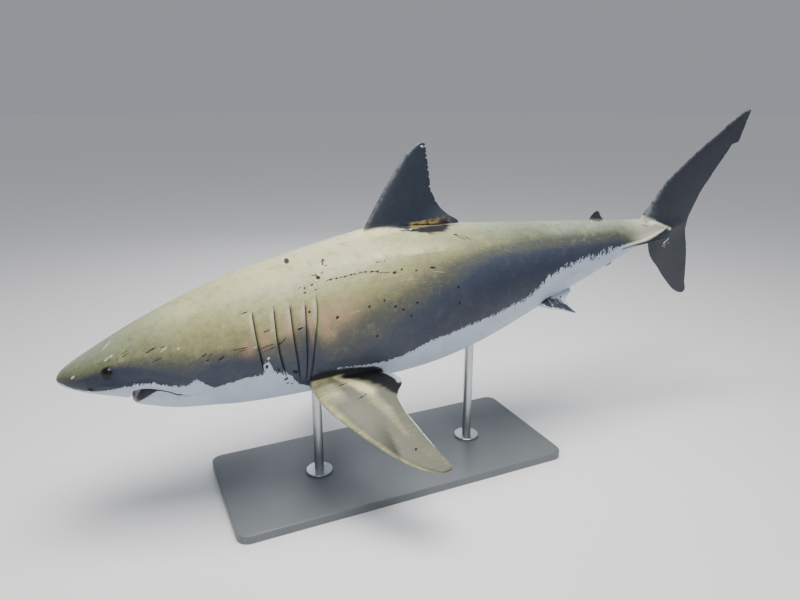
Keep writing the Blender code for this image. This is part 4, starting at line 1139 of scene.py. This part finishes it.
def summed(tree, base, *parts, middle=0.0):
    """The base plus each part's node times its weight, with every node taken from its middle."""
    for node, weight in parts:
        base = add(tree, "Math MULTIPLY_ADD", node, weight, base)
    shift = middle * sum(weight for _, weight in parts)
    return add(tree, "Math SUBTRACT", base, shift) if shift else base


def coated(tree, colour, *coats):
    """A colour with coats of paint over it, each a way of mixing, a coat and the masks that let it on.

    A mask is a number, a node, or (node, low, high), which rises smoothly from 0 at low to 1 at high.
    """
    for mode, coat, *masks in coats:
        cover = None
        for mask in masks:
            if isinstance(mask, tuple):
                mask = add(tree, "MapRange SMOOTHSTEP", *mask)
            cover = mask if cover is None else add(tree, "Math MULTIPLY", cover, mask)
        colour = add(tree, "Mix " + mode, cover, colour, coat)
    return colour


def marks(tree, lay, groups):
    """1 inside the small marks of the groups, each a level of the lay and its marks, and 0 outside."""
    found = 0.0
    for level, listed in groups:
        for a, b, long, wide, slant in listed:
            across = np.radians(b) * float(girth(a)) if level == "body" else b * length()
            spot = add(tree, "Mapping TEXTURE", lay, (a * length(), across, LEVELS[level]),
                       (0.0, 0.0, np.radians(slant)), (long / 2000, wide / 2000, LEVEL_REACH))
            found = add(tree, "Math MAXIMUM", found, add(tree, "TexGradient SPHERICAL", spot).outputs["Fac"])
    return add(tree, "MapRange SMOOTHSTEP", found, 0.0, MARK_RIM)


def skin_material():
    """Painted shark skin: satin, finely grained like the real skin's tiny teeth, mottled above."""
    made, tree, place = new_material("painted_shark_skin")
    look = bpy.context.scene.shark_look
    lay = add(tree, "Attribute lay").outputs["Vector"]
    kept = {name: add(tree, "Attribute " + name).outputs["Fac"] for name in KEPT}

    # mottling: drifts 450 mm wide, clouds 110 mm, blotches 55 mm, grains 30 mm and specks 8 mm
    wide, cloud, blotch, fine, speck = (
        add(tree, "TexNoise", place, 1 / size, detail, rough) for size, detail, rough in (
            (0.45, 4.0, 0.55), (0.110, 5.0, 0.62), (0.055, 6.0, 0.70), (0.030, 5.0, 0.65), (0.008, 3.0, 0.7)))
    # wear and old scratches along the body: streaks of 140 by 11 mm and hairs of 45 by 4 mm
    streaks, hairs = (
        add(tree, "TexNoise", add(tree, "Mapping", lay, None, None, scale), 1.0, detail, rough, None, bend)
        for scale, detail, rough, bend in (((7.0, 90.0, 16.0), 6.0, 0.65, 0.4),
                                           ((22.0, 230.0, 16.0), 4.0, 0.7, 0.6)))
    # pale crest, khaki, olive, slate and deep slate down the side, partly own colour and partly painted top
    # light and shade; soft mottling breaks the borders
    tone = summed(tree, kept["tone"], (cloud, 0.9), (streaks, 0.9), (fine, 1.1), middle=0.5)
    tone = add(tree, "Math MULTIPLY", tone, 0.25)
    sides = add(tree, "ValToRGB", tone, stops=(
        (0.00, look.crest), (0.15, "#9a9b6e"), (0.25, look.back), (0.38, "#6c6b52"), (0.50, "#53544b"),
        (0.75, look.flank), (1.00, look.deep)))
    pale_part = add(tree, "MapRange SMOOTHSTEP", tone, 0.85, 0.35)
    # upper side of the pectoral fins, with painted light and shade and faint rays along the chord
    shine = summed(tree, kept["fin_light"], (streaks, 0.4), (cloud, 0.6), middle=0.5)
    paddle = add(tree, "ValToRGB", shine, stops=(
        (0.00, "#474a3f"), (0.45, look.pectoral), (0.78, "#93926d"), (1.00, "#d9d3a2")))
    # white belly: its border with the dark side is torn, into crumbs of 12 mm ahead, and behind into
    # leaning spikes, 21 mm apart and 45 mm long
    leaning = add(tree, "Mapping", lay, None, (0.0, 0.0, np.radians(-19)))
    leaning = add(tree, "Mapping", leaning, None, None, (48.0, 22.0, 15.0))
    spikes = add(tree, "TexNoise", leaning, 1.0, 5.0, 0.75)
    crumbs = add(tree, "TexNoise", lay, 85.0, 3.0, 0.7)
    torn = summed(tree, 0.0, (spikes, 0.200), (cloud, 0.030), middle=0.5)
    edge = add(tree, "Math MULTIPLY_ADD", torn, kept["fringe"], kept["belly_edge"])
    edge = summed(tree, edge, (crumbs, 0.045), middle=0.5)
    # the belly's white is greyed and blued: partly painted shade
    belly = coated(tree, rgba(look.belly), ("MIX", "#a5b2c0", (cloud, 0.40, 0.80)),
                   ("MIX", "#8592a2", (speck, 0.62, 0.80)))
    fins = coated(tree, rgba(look.fins), ("MIX", "#273143", (fine, 0.40, 0.85)))
    # the painted sunlit strip: dark brown breaking into gold
    stain = coated(tree, "#3d3424", ("MIX", "#8c7a4c", (fine, 0.40, 0.60)))
    # small marks, their outlines shaken by fine noise
    jitter = add(tree, "TexNoise", place, 90.0, 2.0).outputs["Color"]
    jitter = add(tree, "VectorMath SUBTRACT", jitter, (0.5, 0.5, 0.5))
    shaken = add(tree, "VectorMath MULTIPLY_ADD", jitter, (0.012, 0.012, 0.0), lay)
    dark_spots = marks(tree, shaken, (("body", WOUNDS), ("pectoral", PECTORAL_WOUNDS)))
    pale_spots = marks(tree, shaken, (("body", SCARS), ("dorsal", DORSAL_SCARS), ("tail", TAIL_SCARS)))
    highlight_streaks = marks(tree, shaken, (("body", HIGHLIGHT_STREAKS),))

    colour = coated(
        tree, sides,
        # painted highlight along the top of the back
        ("MIX", "#cdc9a0", kept["light"], (cloud, 0.25, 0.65)),
        ("MULTIPLY", "#bccdee", kept["rear"]),
        ("MULTIPLY", "#a4b6d6", kept["head"]),
        ("MIX", "#ab8a70", kept["flush"], (fine, 0.26, 0.54)),
        ("MULTIPLY", "#8f8d7c", (wide, 0.50, 0.78), 0.4),
        # lighter grains on the pale part, darker pores and scratches all over
        ("MIX", "#d2cfb0", (speck, 0.58, 0.80), 0.35, pale_part),
        ("MIX", "#c3c1a2", (streaks, 0.56, 0.78), 0.28, pale_part),
        ("MIX", "#c9c7a8", (hairs, 0.58, 0.74), 0.30, pale_part),
        ("MIX", "#2e302c", (speck, 0.42, 0.22), 0.35),
        ("MIX", "#2e302c", (streaks, 0.43, 0.22), 0.50),
        ("MIX", "#2e302c", (hairs, 0.42, 0.28), 0.40),
        ("MIX", "#a5a37c", (blotch, 0.52, 0.70), (tone, 0.80, 0.40), 0.35),
        ("MIX", "#4b4e45", (blotch, 0.48, 0.30), 0.40),
        # dark fins with a paler front rim, their colour also laid as painted shade at the dorsal fin's foot
        # and under the keel; the pectoral fins, and the belly
        ("MIX", fins, kept["dark_fin"]),
        ("MIX", "#7b8085", kept["rim"], (fine, 0.30, 0.60)),
        # painted light and shade on the pectoral fins' upper side
        ("MIX", paddle, kept["pectoral"]),
        ("MIX", belly, (edge, 0.0025, -0.0015)),
        ("MIX", "#d6d5c4", kept["pale"]),
        # painted highlight streaks
        ("MIX", "#c8c19c", highlight_streaks, 0.28),
        # painted sunlit strip by the dorsal fin
        ("MIX", stain, kept["stain"]),
        # painted shade: the hollow over the pectoral fin with its black spot, and the dorsal fin's cast
        # shadow band
        ("MIX", "#101219", kept["shade"]),
        # painted shade in the slits, pit and nostrils, round the eyes and under the keel's rim
        ("MIX", "#15151a", kept["dark"]),
        ("MIX", "#dfdfd0", pale_spots, 0.80),
        ("MIX", "#0f0f0d", dark_spots, 0.95))
    gloss = add(tree, "MapRange LINEAR", cloud, 0.0, 1.0, 0.34, 0.52)
    gloss = summed(tree, gloss, (kept["shade"], 0.45), (dark_spots, 0.45))
    # the real grain is under 1 mm; it is drawn at 3.5 mm so that it shows
    grain = add(tree, "TexNoise", place, 1 / 0.0035, 2.0, 0.55)
    relief = summed(tree, 0.0, (grain, 0.0009), (fine, 0.0022), (streaks, 0.0016), (dark_spots, -0.0020))
    return finish(made, colour, gloss, ior=1.45, relief=relief, strength=0.6)


def lining_material():
    """Painted resin of the mouth: wet gum, dark purple red, glossy; its folds are 20 mm apart."""
    made, tree, place = new_material("glossy_mouth_resin")
    fine = add(tree, "TexNoise", place, 1 / 0.020, 4.0, 0.55)
    gum = add(tree, "Attribute gum").outputs["Fac"]
    colour = coated(tree, "#302834", ("MIX", "#4a4050", fine), ("MIX", "#77717f", gum))
    return finish(made, colour, 0.28, ior=1.45, relief=fine, strength=0.5, height=0.002)


def eye_material():
    """Cast black glass: nearly black with flecks of deep blue 4 mm wide, polished."""
    made, tree, place = new_material("polished_black_glass")
    fleck = add(tree, "TexNoise", place, 1 / 0.004, 3.0, 0.55)
    return finish(made, coated(tree, "#050608", ("MIX", "#10161f", (fleck, 0.45, 0.8))), 0.30, ior=1.36)


def tooth_material():
    """Cast resin tooth: ivory with greyer clouds 6 mm wide, satin."""
    made, tree, place = new_material("ivory_tooth_resin")
    cloud = add(tree, "TexNoise", place, 1 / 0.006, 3.0, 0.55)
    return finish(made, coated(tree, "#e8e2d2", ("MIX", "#cfc6b2", cloud)), 0.25, ior=1.54)


def base_material():
    """Spray-lacquered board: soft grey, even, with the faint orange peel of sprayed paint."""
    made, tree, place = new_material("sprayed_grey_lacquer")
    cloud = add(tree, "TexNoise", place, 1 / 0.30, 3.0, 0.55)
    colour = coated(tree, rgba(bpy.context.scene.shark_look.base), ("MIX", "#5f6467", cloud))
    # orange peel is about 2 mm across; drawn at 5 mm so that it shows
    peel = add(tree, "TexNoise", place, 1 / 0.005, 2.0, 0.55)
    return finish(made, colour, add(tree, "MapRange LINEAR", cloud, 0.0, 1.0, 0.34, 0.44),
                  relief=peel, strength=0.25, height=0.0004)


def steel_material():
    """Brushed stainless steel: fine rings round the rod from polishing on a lathe."""
    made, tree, place = new_material("brushed_stainless_steel")
    # the real rings are about 0.1 mm apart; they are drawn at 1 mm so that they show
    stretched = add(tree, "Mapping", place, None, None, (12.0, 12.0, 900.0))
    rings = add(tree, "TexNoise", stretched, 1.0, 3.0)
    return finish(made, coated(tree, "#c3c6c8", ("MIX", "#a9adb0", rings)),
                  add(tree, "MapRange LINEAR", rings, 0.0, 1.0, 0.24, 0.38), metallic=1.0)


# ---- settings a user would change --------------------------------------------
def colour_setting(name, description, code):
    """A colour that a user may change, with a colour code as its default."""
    return FloatVectorProperty(name=name, description=description, subtype="COLOR", default=rgba(code)[:3],
                               min=0, max=1)


class SharkBodySettings(PropertyGroup):
    total_length: FloatProperty(
        name="Total length", description="Snout tip to the tip of the upper tail lobe, laid down",
        default=4.20, min=1.0, max=7.0, unit="LENGTH")
    skin_step: FloatProperty(
        name="Skin step", description="Spacing of the skin's rows behind the gills",
        default=0.015, min=0.005, max=0.05, unit="LENGTH")
    teeth_a_side: IntProperty(
        name="Teeth a side", description="Teeth on each side of each jaw", default=9, min=4, max=13)


class SharkLookSettings(PropertyGroup):
    # crest, flank and lower flank colours are partly painted top light and shade
    crest: colour_setting("Crest", "Pale olive along the top of the back", "#b3b68c")
    back: colour_setting("Back", "Khaki of the back", "#86855b")
    flank: colour_setting("Flank", "Blue slate of the flank", "#343c4d")
    deep: colour_setting("Lower flank", "Darkest slate, above the belly", "#232c3f")
    fins: colour_setting("Fins", "Dark slate of the back and tail fins", "#222935")
    pectoral: colour_setting("Pectoral fins", "Olive of their upper sides", "#5a5d4a")
    # the belly's white is greyed and blued: partly painted shade
    belly: colour_setting("Belly", "Cool white of the belly", "#b6c4d4")
    base: colour_setting("Base", "Grey lacquer of the base", "#6b7073")


# ---- operators ---------------------------------------------------------------
def settle(obj, slot, *nodes):
    """Puts a piece on the one body, in the place of the nodes it replaces, which it hides; slot is not used.
    """
    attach(obj, "root")
    if nodes:
        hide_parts(*nodes)


class SHARK_OT_skin(Operator):
    """Builds the whole skin: body, fins and mouth in one piece, with its markings"""
    bl_idname = "shark.skin"
    bl_label = "Skin"

    def execute(self, context):
        materials = [skin_material(), lining_material(), bpy.data.materials.new("fin_faces")]
        finer = [near_face_features(limit) for limit in FINER]
        bm = sheet_of(body_rows(), body_columns(), body_surface, finer)
        skin = to_object("skin", bm, materials)
        combine(skin, mouth_cutter(materials), "DIFFERENCE")
        for eye in ("eye_left", "eye_right"):
            combine(skin, eyeball("socket", eye, SOCKET_GAP, materials), "DIFFERENCE")
        for made in all_fins(materials):
            combine(skin, made, "UNION")
        soften(skin, ((FIN, 3, 6), (LINING, 1, 2)))
        skin.data.materials.pop(index=FIN)
        paint(skin.data)
        settle(skin, "skin", *FLESH)
        return {"FINISHED"}


def tooth(bm, s, y, z, height, width, tilt, side, down):
    """One blade: a flattened cone that curves back a little, root in the gum."""
    made = bmesh.ops.create_cone(bm, cap_ends=True, segments=8, radius1=width / 2,
                                 radius2=width / 2 * TOOTH_POINT, depth=height)
    turned = Matrix.Rotation(tilt, 3, "Z")
    root = Vector(posed(np.array([s]), np.array([side * y]), np.array([z]))[0])
    for vert in made["verts"]:
        share = (vert.co.z + height / 2) / height
        back = vert.co.x * TOOTH_FLAT - TOOTH_CURVE * height * share ** 2
        place = turned @ Vector((back, vert.co.y, 0))
        vert.co = root + Vector((place.x, side * place.y, down * (share - TOOTH_IN_GUM) * height))


class SHARK_OT_teeth(Operator):
    """Builds the rows of teeth along both jaws"""
    bl_idname = "shark.teeth"
    bl_label = "Teeth"

    def execute(self, context):
        count = context.scene.shark_body.teeth_a_side
        bm = bmesh.new()
        for lip, start, reach, inset, down in TOOTH_ROWS:
            for side in (-1, 1):
                for i in range(count):
                    share = (i + 0.35) / count
                    y, q = reach * share, start + inset * share
                    size = 1.0 - TOOTH_SHRINK * share
                    tooth(bm, q + U_BOW * y * y, y, float(line(lip, q)), TOOTH_HEIGHT * size,
                          TOOTH_WIDTH * size, side * np.arctan(2 * U_BOW * y), side, down)
        bmesh.ops.recalc_face_normals(bm, faces=bm.faces)
        settle(to_object("teeth", bm, [tooth_material()]), "tooth")
        return {"FINISHED"}


class SHARK_OT_tongue(Operator):
    """Builds the tongue on the floor of the mouth"""
    bl_idname = "shark.tongue"
    bl_label = "Tongue"

    def execute(self, context):
        bm = bmesh.new()
        bmesh.ops.create_uvsphere(bm, u_segments=24, v_segments=12, radius=1.0)
        co = np.array([v.co[:] for v in bm.verts])
        s, y, z = (TONGUE_AT + co * TONGUE_HALF).T
        y = y * (1 - TONGUE_TAPER * (co[:, 0] < 0) * co[:, 0] ** 2)
        move_all(bm, posed(s, y, z + TONGUE_RISE * co[:, 0]))
        settle(to_object("tongue", bm, [lining_material()], smooth=True), "mouth")
        return {"FINISHED"}


class SHARK_OT_eyes(Operator):
    """Builds the two glass eyes"""
    bl_idname = "shark.eyes"
    bl_label = "Eyes"

    def execute(self, context):
        glass = [eye_material()]
        for side in ("left", "right"):
            settle(eyeball("glass_eye_" + side, "eye_" + side, 0.0, glass), "eye", "eye_" + side)
        return {"FINISHED"}


class SHARK_OT_stand(Operator):
    """Finishes the display stand: lacquered base and brushed steel rods"""
    bl_idname = "shark.stand"
    bl_label = "Stand"

    def execute(self, context):
        lacquer, steel = base_material(), steel_material()
        for name, made, slot in (("stand_base", lacquer, "stand_base"),
                                 ("stand_rod_front", steel, "stand_rod"),
                                 ("stand_rod_rear", steel, "stand_rod")):
            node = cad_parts[name]
            node.data.materials.clear()
            node.data.materials.append(made)
        return {"FINISHED"}


# ---- stage: name, place in m, watts, width in m and colour of each lamp, and the camera ----
LAMPS = (("key_overhead", (0.2, 0.9, 5.4), 480.0, 3.2, "#fffbf4"),
         ("fill_left", (2.0, 5.5, 2.6), 30.0, 4.0, "#eef4ff"),
         ("rim_right", (-1.5, -4.5, 3.6), 70.0, 3.0, "#f2f6ff"))
LAMPS_AIM = Vector((0, 0, 1.0))
FLOOR_RADIUS = 60.0
CAMERA_AT = (1.3254, 3.0553, 2.0761)
CAMERA_TURN = (71.93, 0.0, 155.40)       # degrees
LENS, SENSOR = 29.25, 36.0               # mm


def hang(name, data, place=(0, 0, 0), turn=(0, 0, 0)):
    """Adds a lamp or a camera to the scene at a place and with a turn in radians."""
    holder = bpy.data.objects.new(name, data)
    holder.location = place
    holder.rotation_euler = turn
    bpy.context.scene.collection.objects.link(holder)
    return holder


class SHARK_OT_stage(Operator):
    """Sets the pale floor, the soft studio lights and the camera"""
    bl_idname = "shark.stage"
    bl_label = "Stage"

    def execute(self, context):
        scene = context.scene
        paper = bpy.data.materials.new("pale_studio_floor")
        paper.use_nodes = True
        bm = bmesh.new()
        bmesh.ops.create_circle(bm, cap_ends=True, segments=96, radius=FLOOR_RADIUS)
        to_object("studio_floor", bm, [finish(paper, "#ececee", 0.8)])

        scene.world = bpy.data.worlds.new("studio_air")
        scene.world.use_nodes = True
        air = scene.world.node_tree.nodes["Background"].inputs
        air["Color"].default_value = rgba("#dde2ea")
        air["Strength"].default_value = 0.42
        # a weak even light that brings the far floor up to the backdrop
        even = bpy.data.lights.new("even_overhead", "SUN")
        even.energy = 0.25
        even.angle = np.radians(60)
        hang("even_overhead", even)
        for name, place, power, width, colour in LAMPS:
            lamp = bpy.data.lights.new(name, "AREA")
            lamp.energy = power
            lamp.size = width
            lamp.color = rgba(colour)[:3]
            hang(name, lamp, place, (LAMPS_AIM - Vector(place)).to_track_quat("-Z", "Y").to_euler())

        camera = bpy.data.cameras.new("camera")
        camera.lens = LENS
        camera.sensor_width = SENSOR
        scene.camera = hang("camera", camera, CAMERA_AT, np.radians(CAMERA_TURN))
        return {"FINISHED"}


class SHARK_PT_panel(Panel):
    """Sizes, colours and build steps of the shark model"""
    bl_idname = "SHARK_PT_panel"
    bl_label = "Shark Model"
    bl_space_type = "VIEW_3D"
    bl_region_type = "UI"
    bl_category = "Shark"

    def draw(self, context):
        for group in (context.scene.shark_body, context.scene.shark_look):
            for key in group.__annotations__:
                self.layout.prop(group, key)
        for operator in OPERATORS:
            self.layout.operator(operator.bl_idname)


OPERATORS = (SHARK_OT_skin, SHARK_OT_teeth, SHARK_OT_tongue, SHARK_OT_eyes, SHARK_OT_stand, SHARK_OT_stage)
CLASSES = (SharkBodySettings, SharkLookSettings, *OPERATORS, SHARK_PT_panel)


def register():
    for cls in CLASSES:
        bpy.utils.register_class(cls)
    bpy.types.Scene.shark_body = PointerProperty(type=SharkBodySettings)
    bpy.types.Scene.shark_look = PointerProperty(type=SharkLookSettings)


def unregister():
    del bpy.types.Scene.shark_look
    del bpy.types.Scene.shark_body
    for cls in reversed(CLASSES):
        bpy.utils.unregister_class(cls)


def main():
    register()
    bpy.ops.shark.skin()
    bpy.ops.shark.teeth()
    bpy.ops.shark.tongue()
    bpy.ops.shark.eyes()
    bpy.ops.shark.stand()
    bpy.ops.shark.stage()


if __name__ == "__main__":
    main()
